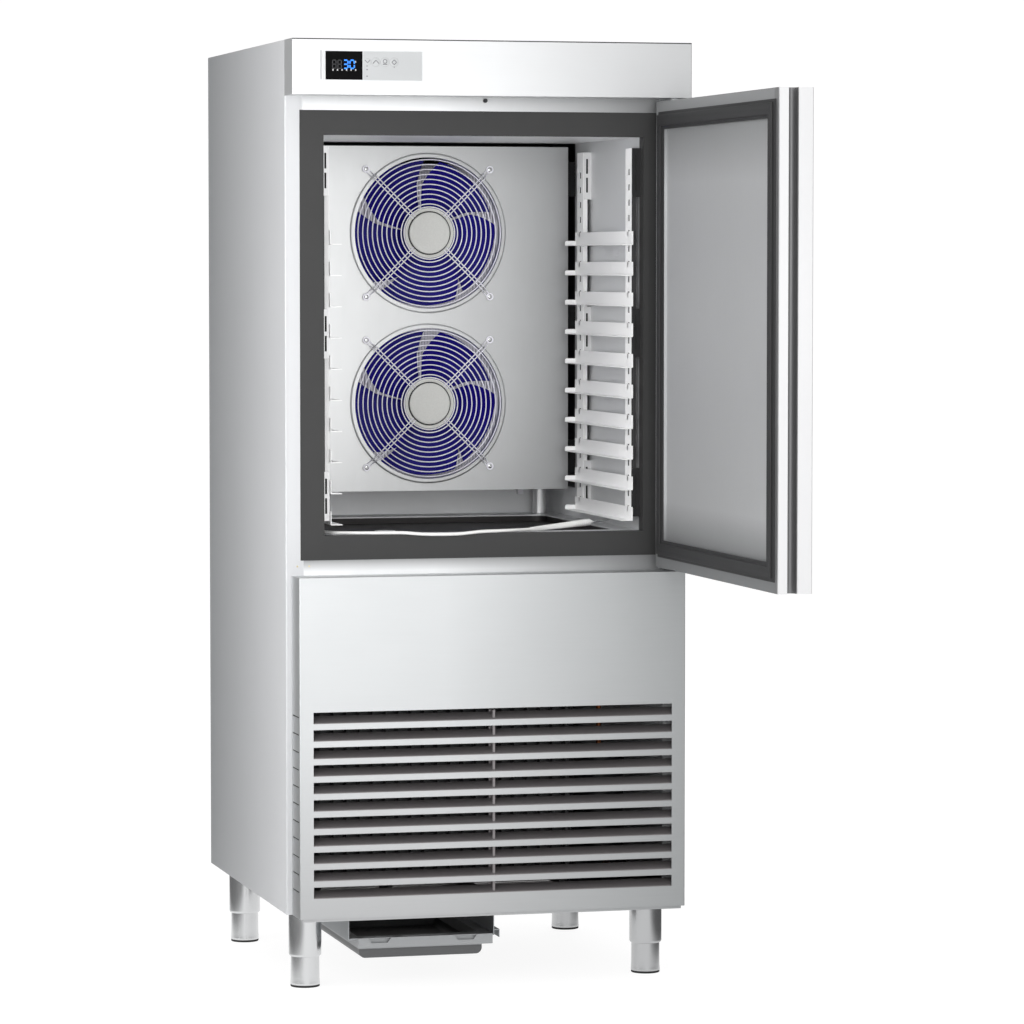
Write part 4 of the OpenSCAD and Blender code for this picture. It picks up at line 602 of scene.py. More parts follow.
# %% Cable
CABLE_THICK = 6.4 * MM
WALL_RUN = [
    (7.5, 330, 347.12), (7.5, 330, 251), (7.5, 330, 151.34), (7.5, 330, 70), (7.5, 329, 34),
    (7.5, 321, 13), (7.5, 300, 4), (9, 240, 3.8), (10, 150, 3.8), (11, 80, 3.8),
]
SILL_RUN = [
    (-300, 50, 3.8), (-283, 27, 3.8), (-247, 8, 3.8), (-200, 1, 3.9), (-178, -1, 4), (-160, -3, 3.6),
    (-142, -4.5, 2), (-110, -5, 0), (-60, -5, 0), (-30, -4.5, 2), (-12, -3, 3.6), (4, -1, 4.1),
    (28, 3, 4.3), (62, 11, 4.6),
]
WALL_X = -319
PROBE_START = Vector((97, -342, 886)) * MM
PROBE_END = Vector((236, -277, 894.5)) * MM
floor_corner = Vector((0, -367, 881)) * MM
cable_points = [floor_corner + Vector((WALL_X + x, y, z)) * MM for x, y, z in WALL_RUN]
cable_points += [floor_corner + Vector(point) * MM for point in SILL_RUN]
probe_run = PROBE_END - PROBE_START
cable_points += [PROBE_START + probe_run.normalized() * inside * MM for inside in (0, 30, 60, 90)]

cable_data = bpy.data.curves.new("probe_cable_soft", "CURVE")
cable_data.dimensions = "3D"
cable_data.bevel_depth = CABLE_THICK / 2
cable_data.bevel_resolution = 4
cable_data.resolution_u = 8
cable_data.use_fill_caps = True
cable_line = cable_data.splines.new("BEZIER")
cable_line.bezier_points.add(len(cable_points) - 1)
for i, knot in enumerate(cable_line.bezier_points):
    ahead = cable_points[min(i + 1, len(cable_points) - 1)]
    lean = (ahead - cable_points[max(i - 1, 0)]) / 6
    knot.co = cable_points[i]
    knot.handle_left_type = knot.handle_right_type = "FREE"
    knot.handle_left, knot.handle_right = cable_points[i] - lean, cable_points[i] + lean
cable_data.materials.append(white_polymer)
cable = put("probe_cable_soft", cable_data)

# %% [markdown]
# ## The probe and its gland
# Handle, ferrule and needle are turned shapes on one axis. The handle is a moulded cone with a few
# grip rings near its wide end; the needle is ground to a point. The gland is an elbow whose neck
# tapers along the cable, so that it isn't kinked where it leaves.

# %% Probe
PROBE_LONG = probe_run.length
probe_place = Matrix.Translation(PROBE_START) @ probe_run.to_track_quat("Z", "Y").to_matrix().to_4x4()
handle_line = in_mm([(0, 0), (3.5, 0), (3.8, 0.6), (3.9, 9), (4.2, 12)])
for ring in range(5, -1, -1):
    start = PROBE_LONG - (14 + 5 * ring) * MM
    girth = 3.6 * MM + 3.4 * MM * start / PROBE_LONG
    handle_line += in_mm([(0, 0), (0.35, 0.8), (0.35, 2.4), (0, 3.2)], (girth, start))
ferrule = [(6.9, -4), (7, -2.6), (6.4, -1), (5, 0), (3.6, 0.3), (3.4, 5), (2.6, 6.6), (0, 7)]
handle_line += in_mm(ferrule, (0, PROBE_LONG))
handle = place_piece(
    "probe_grip", [turned(handle_line, probe_place, 40)], white_polymer, "cabinet", "probe_handle"
)
needle_line = in_mm([(0, 0), (1.6, 0), (1.6, 38), (1.2, 42), (0, 46.4)], (0, PROBE_LONG + 6.5 * MM))
needle = place_piece(
    "probe_spike", [turned(needle_line, probe_place, 24)], polished_tube, "cabinet", "probe_needle"
)

gland_axis = Vector((WALL_X * MM, cable_points[0].y, cable_points[0].z + 22 * MM))
gland_place = Matrix.Translation(gland_axis) @ Matrix.Rotation(math.pi / 2, 4, "Y")
gland_line = in_mm([
    (0, -28), (5.4, -28), (6, -27), (6, 0), (10.4, 0), (11, 0.6), (11, 2.4), (10.4, 3), (8.8, 3.2), (8.8, 12),
    (7.4, 13.6), (0, 14),
])
neck_line = [(0, 0), (4, 0)]
for ring in range(4):
    girth, z = 5.2 - 0.25 * ring, -(2 + 4.5 * ring)
    neck_line += [(girth, z), (girth, z - 2.4), (girth - 0.5, z - 2.8), (girth - 0.5, z - 4.2)]
neck_line = in_mm(neck_line + [(3.4, -22), (0, -22)])
neck_place = Matrix.Translation(gland_axis + Vector((7.5 * MM, 0, 0)))
gland_shapes = [turned(gland_line, gland_place, 32), turned(neck_line, neck_place, 32)]
place_piece("probe_elbow", gland_shapes, white_polymer, "cabinet", "probe_gland")

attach(cable, "cabinet")
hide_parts("probe_cable")
print("probe", round(PROBE_LONG, 4))

# %% [markdown]
# ## The fans
# Each fan is three parts on one axis. The motor's cap and flange are cast aluminium and stand
# still. The rotor is a can with five blades rolled from sheet or moulded in one with it; each
# blade is part of a cylinder laid across the axis at a pitch, so its height follows one formula.
# The guard is welded from wire.

# %% Fan axes
FAN_TO_BACK = Matrix.Rotation(-math.pi / 2, 4, "X")
fan_plane = baffle_low.y + 6 * MM
fan_axes = {name: Vector((0, fan_plane, middle(name + "_fan_motor").z)) for name in ("upper", "lower")}
print("fan axes", fan_axes)

# %% Motor caps
# Radius and height over the rotor's plane: a dished cover, a groove for its seal, a flange and the can.
cap_line = in_mm([
    (0, -16.8), (30, -17), (39.5, -17), (41.2, -16.4), (42, -15), (42, -13.5), (44.5, -12.3), (46, -12.3),
    (47.2, -13.5), (50, -13.5), (51, -12.7), (51, -9.5), (50.4, -9), (38, -9), (38, 38.5), (36.6, 40), (0, 40),
])
seal_line = in_mm([(41.8, -13.8), (44.2, -13.8), (44.6, -11.9), (41.8, -11.9), (41.8, -13.8)])
for name, axis in fan_axes.items():
    place = Matrix.Translation(axis) @ FAN_TO_BACK
    place_piece(
        name + "_motor_cap", [turned(cap_line, place, 96)], motor_cast, "cabinet", name + "_fan_motor"
    )
    place_piece(name + "_cap_seal", [turned(seal_line, place, 72)], gasket_pvc, "cabinet")
print("caps turned from", len(cap_line), "points")

# %% Blades and can
BLADES = 5
BLADE_STEP = math.tau / BLADES
CAN_RADIUS = 46 * MM
TIP_RADIUS = 148 * MM
CAMBER_RADIUS = 220 * MM
BLADE_PITCH = math.radians(14)
BLADE_LIFT = 41.6 * MM
BLADE_THICK = 2 * MM


def blade_height(radius, angle):
    """Height of the rolled blade over the rotor's plane: an arc across the blade's middle line."""
    across = radius * math.sin(angle + BLADE_STEP * 0.6)
    centre = CAMBER_RADIUS * math.sin(BLADE_PITCH)
    drop = CAMBER_RADIUS * math.cos(BLADE_PITCH)
    return BLADE_LIFT - drop + math.sqrt(CAMBER_RADIUS**2 - (across - centre) ** 2)


def blade_mesh():
    """One blade as a closed skin of two sides and a rim."""
    rows, columns = 16, 20
    points, faces = [], []
    # Both edges are shares of the step between blades: swept near the can, cut back near the tip.
    for side in (0, 1):
        for i in range(rows + 1):
            share = i / rows
            radius = CAN_RADIUS - 2 * MM + (TIP_RADIUS - CAN_RADIUS + 2 * MM) * share
            lead = BLADE_STEP * (0.22 - 0.05 * min(share * 1.6, 1) - 0.10 * max(share - 0.55, 0) / 0.45)
            trail = BLADE_STEP * (1.19 - 0.05 * min(share * 1.6, 1) - 0.22 * max(share - 0.55, 0) / 0.45)
            for k in range(columns + 1):
                angle = -(lead + (trail - lead) * k / columns)
                height = blade_height(radius, angle) + side * BLADE_THICK
                points.append((*around(angle, radius), height))
    wide = columns + 1
    back = (rows + 1) * wide
    for i in range(rows):
        for k in range(columns):
            a = i * wide + k
            faces.append((a, a + 1, a + wide + 1, a + wide))
            faces.append((back + a, back + a + wide, back + a + wide + 1, back + a + 1))
    edge = list(range(wide)) + [i * wide + columns for i in range(1, rows + 1)]
    edge += [rows * wide + k for k in range(columns - 1, -1, -1)] + [i * wide for i in range(rows - 1, 0, -1)]
    for a, b in zip(edge, edge[1:] + edge[:1]):
        faces.append((a, back + a, back + b, b))
    return joined("blade", (points, faces))


can_line = in_mm([
    (0, 52), (44, 52), (46, 50), (46, 9), (45.2, 8), (43.2, 8), (42.5, 9), (42.5, 46), (0, 46),
])


def merged(name, *meshes):
    """Several meshes as one."""
    form = bmesh.new()
    for mesh in meshes:
        form.from_mesh(mesh)
    made = bpy.data.meshes.new(name)
    form.to_mesh(made)
    form.free()
    return made


FAN_TURN = Matrix.Rotation(math.radians(-12), 4, "Z")
for name, axis in fan_axes.items():
    blades = baked(round_tree, blade_mesh(), fan_polyamide, Count=BLADES, Turn=BLADE_STEP)
    rotor = merged("rotor", blades, joined("can", turned(can_line, steps=72)))
    rotor.transform(Matrix.Translation(axis) @ FAN_TO_BACK @ FAN_TURN)
    place_piece(name + "_blades", rotor, fan_polyamide, name + "_fan", name + "_fan_rotor")
print("rotors of", BLADES, "blades")

# %% Wire guards
HOLE_RADIUS = 0.1538
WIRE_RADIUS = 1.25 * MM
RING_PLANE = -13 * MM
ARM_PLANE = RING_PLANE - 2 * MM
ARM_GAP = 6.6 * MM
FOOT_PLANE = -WIRE_RADIUS - 0.3 * MM
ARM_START = 44.5 * MM
ARM_BEND = HOLE_RADIUS + 3 * MM
ARM_FLAT = HOLE_RADIUS + 17 * MM
ARM_END = HOLE_RADIUS + 29.2 * MM


def arm_height(radius):
    """Level over the rings, then a smooth bend down to the baffle."""
    share = min(max((radius - ARM_BEND) / (ARM_FLAT - ARM_BEND), 0), 1)
    return ARM_PLANE + (FOOT_PLANE - ARM_PLANE) * share * share * (3 - 2 * share)


def arm_path():
    """Out along one wire, round the loop at the screw and back along the other."""
    out = [ARM_START, HOLE_RADIUS * 0.6]
    out += [ARM_BEND + (ARM_FLAT - ARM_BEND) * k / 8 for k in range(9)] + [ARM_END]
    path = [Vector((radius, -ARM_GAP / 2, arm_height(radius))) for radius in out]
    for k in range(1, 8):
        out_x, out_y = around(math.pi * k / 8 - math.pi / 2, ARM_GAP / 2)
        path.append(Vector((ARM_END + out_x, out_y, FOOT_PLANE)))
    return path + [Vector((radius, ARM_GAP / 2, arm_height(radius))) for radius in reversed(out)]


def wire_rings(count, first, step=0.0):
    """Rings of wire round the axis, in the plane of the rings."""
    sizes = {"Count": count, "First": first, "Step": step, "Wire": WIRE_RADIUS}
    made = baked(ring_tree, bpy.data.meshes.new("none"), plated_wire, **sizes)
    made.transform(Matrix.Translation((0, 0, RING_PLANE)))
    return made


for name, axis in fan_axes.items():
    arm = joined("arm", pulled(arm_path(), WIRE_RADIUS))
    arm.transform(Matrix.Rotation(math.pi / 4, 4, "Z"))
    arms = baked(round_tree, arm, plated_wire, Count=4, Turn=math.pi / 2)
    guard = outwards(merged("guard", wire_rings(1, 53 * MM), wire_rings(10, 59 * MM, 10 * MM), arms))
    guard.transform(Matrix.Translation(axis) @ FAN_TO_BACK)
    place_piece(name + "_guard", guard, plated_wire, "cabinet", name + "_fan_guard")
print("guards with rings to", round(149 * MM, 4))

# %% [markdown]
# ## Folded sheet
# Racks, louvres and hems are strips of sheet folded to a section and cut to length. An outline
# whose corners are rounded like a real fold, pulled straight along one axis, gives each of them.


# %% Folded sections
def rounded(corners, radius=0, steps=4):
    """Rounds the corners of a closed outline. A corner with a third number has its own radius."""
    outline = []
    for i, corner in enumerate(corners):
        here = Vector(corner[:2])
        before = Vector(corners[i - 1][:2]) - here
        after = Vector(corners[(i + 1) % len(corners)][:2]) - here
        reach = min(corner[2] if len(corner) > 2 else radius, before.length / 2, after.length / 2)
        if reach <= 0:
            outline.append(here)
            continue
        first, last = here + before.normalized() * reach, here + after.normalized() * reach
        for k in range(steps + 1):
            t = k / steps
            outline.append((1 - t) ** 2 * first + 2 * t * (1 - t) * here + t * t * last)
    return outline


def extruded(outline, along, low, high):
    """A closed outline pulled along an axis: 0 for X, 1 for Y, 2 for Z."""
    points = []
    for depth in (low, high):
        for a, b in outline:
            point = [a, b]
            point.insert(along, depth)
            points.append(Vector(point))
    count = len(outline)
    faces = [tuple(range(count)), tuple(range(2 * count - 1, count - 1, -1))]
    faces += [(i, (i + 1) % count, count + (i + 1) % count, count + i) for i in range(count)]
    return points, faces


def brick(low, high):
    """A plain block as a shape to be joined to others."""
    outline = [(low[0], low[1]), (high[0], low[1]), (high[0], high[1]), (low[0], high[1])]
    return extruded(outline, 2, low[2], high[2])


print("outline of a fold", len(rounded([(0, 0), (1, 0), (1, 1)], 0.2)), "points")

# %% [markdown]
# ## Tray slides
# Ten pairs of angle strips carry the trays. Each has a web on the uprights, a flange that the tray
# runs on, an upturned tab at its rear that stops the tray, and two hooks in the uprights' slots.
# One slide is drawn once; a geometry tree repeats it every 60 mm.

# %% Tray slides
SLIDE_COUNT = 10
SLIDE_STEP = 60 * MM
SHEET = 1.5 * MM
slide_low, slide_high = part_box("right_tray_slides")
rack_plane = slide_high.x - 3.5 * MM
web_foot, flange_foot = (rack_plane, slide_low.z), (slide_low.x, slide_low.z)
web_corners = in_mm([(0, 0, 2), (0, 27, 0.4), (-1.5, 27, 0.4), (-1.5, 1.5, 0.6)], web_foot)
slide_section = rounded(web_corners + in_mm([(0, 1.5, 0.4), (0, 0, 0.4)], flange_foot))
stop_corners = in_mm([(-1.5, 1.5), (-1.5, 10)], web_foot) + in_mm([(0, 10, 4), (0, 1.5)], flange_foot)
shapes = [extruded(slide_section, 1, slide_low.y, slide_high.y)]
shapes.append(extruded(rounded(stop_corners), 1, slide_high.y - SHEET, slide_high.y))
for hook_y in (32.5, 386.5):
    for past, foot, top in ((3.4, 21, 27), (0, 17.5, 21)):
        corners = [(-1.5, hook_y - 3, foot), (past, hook_y + 3, top)]
        shapes.append(brick(*in_mm(corners, (rack_plane, slide_low.y, slide_low.z))))
one_slide = joined("slide", *shapes)
right_slides = baked(row_tree, one_slide, steel["rack"], Count=SLIDE_COUNT, Step=(0, 0, SLIDE_STEP))
left_slides = right_slides.copy()
left_slides.transform(Matrix.Scale(-1, 4, (1, 0, 0)))
left_slides.flip_normals()
place_piece("right_slides", right_slides, steel["rack"], "cabinet", "right_tray_slides")
place_piece("left_slides", left_slides, steel["rack"], "cabinet", "left_tray_slides")
print("slides from", round(slide_low.z, 4), "every", SLIDE_STEP)

# %% [markdown]
# ## Louvres
# Behind each opening of the lower panel lies a folded blade that rises inwards, so that air passes
# and nobody looks in. All eleven are tied by one strip in the middle, whose comb grips them. Again
# one blade is drawn and a geometry tree repeats it.

# %% Louvre blades
LOUVRES = 11
LOUVRE_STEP = 33.6 * MM
louvre_low, louvre_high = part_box("louvre_blades")
louvre_corners = [(0, 0, 0.3), (1.2, 0, 0.3), (1.2, 6.4, 1.2), (20, 19.04, 0.3), (20, 20.64, 0.3), (0, 7.8, 2)]
louvre_section = rounded(in_mm(louvre_corners, (louvre_low.y, louvre_low.z)))
one_louvre = joined("louvre", extruded(louvre_section, 0, louvre_low.x, louvre_high.x))
louvre_row = baked(row_tree, one_louvre, steel["louvre"], Count=LOUVRES, Step=(0, 0, LOUVRE_STEP))
tie_back = louvre_high.y - 2 * MM
tie = brick((-6 * MM, tie_back, louvre_low.z), (6 * MM, louvre_high.y, louvre_high.z))
comb = brick((-2.4 * MM, louvre_low.y + 4 * MM, louvre_low.z), (2.4 * MM, tie_back, louvre_high.z))
louvres = merged("louvres", louvre_row, joined("tie", tie, comb))
place_piece("louvres", louvres, steel["louvre"], "cabinet", "louvre_blades")
print("louvres", LOUVRES)

# %% [markdown]
# ## Door gasket
# The gasket is an extruded strip: a flat foot that is pushed into the door's groove, a bellows and
# a magnetic bulb. Four lengths are welded at mitred corners, so one section is carried round the
# rectangle, with each corner on the diagonal.

# %% Gasket
gasket_low, gasket_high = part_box("door_gasket")
gasket_tall = gasket_high.x - gasket_low.x
gasket_corners = in_mm([(0, 0), (0, 2.4, 1), (5, 3, 0.8), (7.4, 4.2, 0.8), (6, 5.4, 0.8)])
gasket_corners += in_mm([(6.6, 0, 2), (16, -0.5, 1), (27.4, 0, 2)], (0, gasket_tall))
gasket_corners += in_mm([(28, 5.4, 0.8), (26.6, 4.2, 0.8), (29, 3, 0.8), (34, 2.4, 1), (34, 0)])
gasket_section = rounded(gasket_corners, steps=3)


def mitred_band(low, high, foot_x, section):
    """A section of (distance inwards, height) pairs carried round a rectangle across X."""
    points, faces = [], []
    for y, z, in_y, in_z in (
        (low.y, low.z, 1, 1), (high.y, low.z, -1, 1), (high.y, high.z, -1, -1), (low.y, high.z, 1, -1)
    ):
        points += [Vector((foot_x - out, y + in_y * inward, z + in_z * inward)) for inward, out in section]
    count = len(section)
    for side in range(4):
        a, b = side * count, (side + 1) % 4 * count
        faces += [(a + i, a + (i + 1) % count, b + (i + 1) % count, b + i) for i in range(count)]
    return points, faces


gasket_shape = mitred_band(gasket_low, gasket_high, gasket_high.x, gasket_section)
place_piece("gasket_band", [gasket_shape], gasket_pvc, "door", "door_gasket")
print("gasket stands", round(gasket_tall, 4), "proud")

# %% [markdown]
# ## Legs
# Each leg is a polished tube with a rolled mouth. Its foot is a narrower tube on a threaded stem,
# with a rubber pad. They are turned shapes, so their highlights run straight up and down.

# %% Legs and feet
leg_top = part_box("leg_tubes")[1].z
tube_line = [(0, -45), (28.2, -45), (28.2, -88.6), (28.6, -89.8), (29.6, -90), (31, -88.8), (31.8, -87)]
tube_line = in_mm(tube_line + [(32, -85), (32, -0.8), (31.4, 0), (0, 0)], (0, leg_top))
foot_line = in_mm([
    (0, 100), (28, 100), (28, 50), (28.1, 30), (28.4, 16), (28.8, 9), (29, 7), (29, 6), (28.6, 4.6), (28, 4),
    (0, 4),
])
pad_line = in_mm([(0, 0.2), (24, 0.2), (25, 0), (27.6, 0), (28.5, 1), (28.4, 4), (0, 4)])
tubes = []
for foot in ("foot_front_left", "foot_front_right", "foot_rear_left", "foot_rear_right"):
    spot = middle(foot)
    stand = Matrix.Translation((spot.x, spot.y, 0))
    tubes.append(turned(tube_line, stand))
    place_piece(foot + "_tube", [turned(foot_line, stand)], polished_tube, foot, foot)
    place_piece(foot + "_pad", [turned(pad_line, stand)], foot_rubber, foot)
place_piece("legs", tubes, polished_tube, "cabinet", "leg_tubes")
print("legs", len(tubes))

# %% [markdown]
# ## Screws
# The heads of the guards' and hinges' screws are low domes with a cross recess. A head is a polar
# grid whose height is the dome's, less the depth of the cross where the grid lies in it.

# %% Screws
def screw_head(radius, tall, spot):
    """A pan head with a cross recess that faces the front, its seat at the spot."""
    spokes, rings = 32, 7
    circle = [around(math.tau * k / spokes) for k in range(spokes)]
    points, faces = [Vector((0, 0, tall * 0.35))], []
    for i in range(1, rings + 1):
        share = i / rings
        for across, up in circle:
            x, y = radius * share * across, radius * share * up
            height = tall * math.sqrt(max(1 - (share * 0.92) ** 4, 0))
            if min(abs(x), abs(y)) < radius * 0.14 and share < 0.62:
                height -= tall * 0.55
            points.append(Vector((x, y, height)))
    points += [Vector((radius * across, radius * up, 0)) for across, up in circle]
    for k in range(spokes):
        after = (k + 1) % spokes
        faces.append((0, 1 + k, 1 + after))
        for i in range(rings):
            a, b = 1 + i * spokes + k, 1 + i * spokes + after
            faces.append((a, a + spokes, b + spokes, b))
    faces.append(tuple(1 + rings * spokes + k for k in range(spokes - 1, -1, -1)))
    place = Matrix.Translation(spot) @ TO_FRONT
    return [place @ point for point in points], faces


TO_FRONT = Matrix.Rotation(math.pi / 2, 4, "X")
heads, washers = [], []
washer_line = in_mm([(4, -1.2), (7.2, -1.2), (7.6, -0.8), (7.6, 0), (4, 0)])
for axis in fan_axes.values():
    for quarter in range(4):
        x, z = around(math.pi / 4 + quarter * math.pi / 2, ARM_END)
        spot = axis + Vector((x, -3 * MM, z))
        heads.append(screw_head(4.6 * MM, 2.4 * MM, spot))
        washers.append(turned(washer_line, Matrix.Translation(spot) @ FAN_TO_BACK, 28))
hinge_x = middle("hinge_brackets").x
screw_low, screw_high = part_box("screws")
for x in (-12, 12):
    for z in (screw_low.z + 4.5 * MM, screw_high.z - 4.5 * MM):
        heads.append(screw_head(4.5 * MM, 2 * MM, Vector((hinge_x + x * MM, front_y - 3 * MM, z))))
place_piece("screw_heads", heads, polished_tube, "cabinet", "screws")
place_piece("guard_washers", washers, plated_wire, "cabinet")
print("screws", len(heads))

# %% [markdown]
# ## Evaporator
# The evaporator is a block of thin aluminium fins on copper tubes that run back and forth and turn
# round outside the end plates. Under it hangs a drip edge. The fins are far too many to draw by
# hand: one fin and one tube are drawn, and the geometry trees repeat them.

# %% Evaporator
coil_low, coil_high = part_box("evaporator")
FIN_COUNT = 84
FIN_THICK = 0.5 * MM
BEND_COUNT = 9
BEND_RADIUS = 14 * MM
TUBE_RADIUS = 4.5 * MM
fin_x = 250 * MM
fin_step = (2 * fin_x - FIN_THICK) / (FIN_COUNT - 1)
block_floor = coil_low.z + 18 * MM
fin_low = (-fin_x, coil_low.y, block_floor + 1 * MM)
one_fin = brick(fin_low, (FIN_THICK - fin_x, coil_high.y - 50 * MM, coil_high.z - 2 * MM))
fins = baked(row_tree, joined("fin", one_fin), fin_aluminium, Count=FIN_COUNT, Step=(fin_step, 0, 0))
drip_low = (-fin_x, coil_low.y, block_floor)
plates = [brick(drip_low, (fin_x, coil_low.y + 1 * MM, block_floor + 8 * MM))]
plates.append(brick(drip_low, (fin_x, coil_high.y, block_floor + 1 * MM)))
for x in (-fin_x, fin_x):
    plates.append(brick((x - 1 * MM, coil_low.y, block_floor), (x + 1 * MM, coil_high.y, coil_high.z)))
    block_low = (x - 6 * MM, coil_high.y - 14 * MM, coil_low.z)
    plates.append(brick(block_low, (x + 6 * MM, coil_high.y, block_floor)))
metal = merged("fins", fins, joined("plates", *plates))
place_piece("evaporator_fins", metal, fin_aluminium, "cabinet", "evaporator")

bend_step = (coil_high.z - coil_low.z - 60 * MM) / BEND_COUNT
bend_middle = Vector((fin_x, coil_low.y + 46 * MM, coil_low.z + 40 * MM + bend_step / 2))
hairpin = []
for step in range(9):
    x, z = around(math.pi * step / 8 - math.pi / 2, BEND_RADIUS)
    hairpin.append(bend_middle + Vector((x, 0, z)))
ends = [Vector((-fin_x, bend_middle.y, bend.z)) for bend in (hairpin[0], hairpin[-1])]
one_tube = joined("tube", pulled([ends[0]] + hairpin + [ends[1]], TUBE_RADIUS, 8))
tubes = baked(row_tree, one_tube, copper_pipe, Count=BEND_COUNT, Step=(0, 0, bend_step))
place_piece("evaporator_tubes", tubes, copper_pipe, "cabinet")
print("fins", FIN_COUNT, "tubes", BEND_COUNT)

# %% [markdown]
# ## Sleeve, and painted shade behind the slots
# In the chamber the suction pipe runs in a foil sleeve. Behind each slotted upright, behind the long slots of
# the wall brackets and behind the side slots of the lower panel lies a thin black strip: painted shade, a dark
# sheet put where the hollow behind the slots is only in shadow, so that the slots read black.

# %% Sleeve and painted slot shade
sleeve_place = Matrix.Translation((285 * MM, 288 * MM, chamber_floor))
sleeve_line = in_mm([(0, 0.5), (14, 0.5), (14, 60), (0, 60)])
place_piece("pipe_sleeve", [turned(sleeve_line, sleeve_place, 32)], foil, "cabinet")

upright_low, upright_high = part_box("right_uprights")
UPRIGHT_WIDE = 45 * MM
BRACKET_TALL = 95 * MM
bracket_span = upright_high.z - upright_low.z - BRACKET_TALL
# Thin black strips behind the slots: painted shade where the hollows are in shadow.
shade_strips = []
for side in (-1, 1):
    for start in (upright_low.y, upright_high.y - UPRIGHT_WIDE):
        edges = sorted(side * (upright_low.x + x * MM) for x in (1.6, 2.6))
        strip_high = (edges[1], start + UPRIGHT_WIDE - 10 * MM, upright_high.z)
        shade_strips.append(brick((edges[0], start + 10 * MM, upright_low.z), strip_high))
        edges = sorted(side * (upright_low.x + x * MM) for x in (5.4, 9.6))
        for bracket in (0, bracket_span / 2, bracket_span):
            for slot in (14 * MM, 52 * MM):
                foot_z = upright_low.z + bracket + slot
                strip_high = (edges[1], start - 0.05 * MM, foot_z + 30 * MM)
                shade_strips.append(brick((edges[0], start - 1.6 * MM, foot_z), strip_high))
panel_low, panel_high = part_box("lower_panel")
for side in (-1, 1):
    edges = sorted(side * (panel_high.x - x * MM) for x in (1.8, 1.3))
    strip_high = (edges[1], panel_high.y - 4 * MM, louvre_high.z)
    shade_strips.append(brick((edges[0], panel_low.y + 6 * MM, louvre_low.z), strip_high))
place_piece("slot_shade_strips", shade_strips, foot_rubber, "cabinet")
print("shade_strips", len(shade_strips))

# %% [markdown]
# ## Controller
# The controller has a smoked window with a number of light-emitting segments, and a printed film
# with domed keys. The marks are a fraction of a millimetre of ink; they are drawn as thin bars and
# rings, a little proud, because ink alone would be lost at this distance. The keys carry only
# plain shapes.


# %% Flat marks
def mark_bar(start, end, wide, level):
    """A flat bar on the fascia between two (X, Z) points, its front at Y = level."""
    along = (Vector(end) - Vector(start)).normalized() * wide / 2
    across = Vector((-along.y, along.x))
    first, last = Vector(start), Vector(end)
    outline = [first - across, last - across, last + across, first + across]
    return extruded(outline, 1, level, level + 0.2 * MM)


def mark_ring(centre, radius, wide, level, sides=24):
    """A flat ring of short bars; with 4 sides it is a diamond."""
    corners = [Vector(centre) + Vector(around(math.tau * k / sides, radius)) for k in range(sides)]
    return [mark_bar(a, b, wide, level) for a, b in zip(corners, corners[1:] + corners[:1])]


SEGMENTS = {
    "a": ((0, 2), (1, 2)), "b": ((1, 1), (1, 2)), "c": ((1, 0), (1, 1)), "d": ((0, 0), (1, 0)),
    "e": ((0, 0), (0, 1)), "f": ((0, 1), (0, 2)), "g": ((0, 1), (1, 1)),
}


def figure(segments, corner, wide, tall, stroke, level):
    """Some segments of a seven-segment figure, with small gaps between them."""
    shapes = []
    for name in segments:
        ends = [Vector((corner[0] + x * wide, corner[1] + z * tall / 2)) for x, z in SEGMENTS[name]]
        gap = (ends[1] - ends[0]).normalized() * stroke * 0.45
        shapes.append(mark_bar(ends[0] + gap, ends[1] - gap, stroke, level))
    return shapes


print("segments", len(SEGMENTS))

# %% Display
window_low, window_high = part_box("display_window")
GLASS_FRONT = window_low.y - 0.1 * MM
FIGURE_WIDE = 8.4 * MM
FIGURE_TALL = 15.4 * MM
FIGURE_STEP = 13 * MM
figures_z = window_low.z + 21.5 * MM
first_figure = window_low.x + 15 * MM
lit, unlit = [], []
# The segments, the place in steps from the first figure, the share of the full width, the stroke in mm.
for group, segments, steps, slim, stroke in (
    (lit, "abgcd", 1.55, 1, 2.6),
    (lit, "abcdef", 2.5, 1, 2.6),
    (unlit, "abcdefg", -0.1, 0.8, 1.5),
    (unlit, "abcdefg", 0.7, 0.8, 1.5),
):
    corner = (first_figure + steps * FIGURE_STEP, figures_z)
    group.extend(figure(segments, corner, FIGURE_WIDE * slim, FIGURE_TALL, stroke * MM, GLASS_FRONT))
place_piece("display_figures", lit, digit_light, "cabinet")
place_piece("display_unlit", unlit, digit_unlit, "cabinet")
dots = []
for x, z, half, wide in [(14.5 + 8.8 * k, 18.5, 1.7, 2.4) for k in range(6)] + [(58.5, 34, 1.6, 2)]:
    ends = in_mm([(x, z - half), (x, z + half)], (window_low.x, window_low.z))
    dots.append(mark_bar(*ends, wide * MM, GLASS_FRONT))
place_piece("display_dots", dots, mark_white, "cabinet")
print("display marks", len(lit) + len(unlit) + len(dots))

# %% Keypad
film_low, film_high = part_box("keypad_film")
FILM_FRONT = window_low.y
KEYS = [film_low.x + x * MM for x in (8.5, 25, 42.7, 60.6)]
key_z = window_low.z + 34 * MM
film_corners = [(x, window_low.z) for x in (film_low.x, film_high.x)]
film_corners += [(x, window_high.z) for x in (film_high.x, film_low.x)]
film_parts = [extruded(rounded(film_corners, 1.2 * MM), 1, FILM_FRONT, film_high.y)]
dome_line = in_mm([(0, 0), (7.4, 0), (7.2, 0.12), (6.4, 0.3), (3, 0.38), (0, 0.4)])
for x in KEYS:
    film_parts.append(turned(dome_line, Matrix.Translation((x, FILM_FRONT + 0.05 * MM, key_z)) @ TO_FRONT, 40))
place_piece("key_film", film_parts, keypad_polyester, "cabinet", "keypad_film")

DOME_FRONT = FILM_FRONT - 0.45 * MM
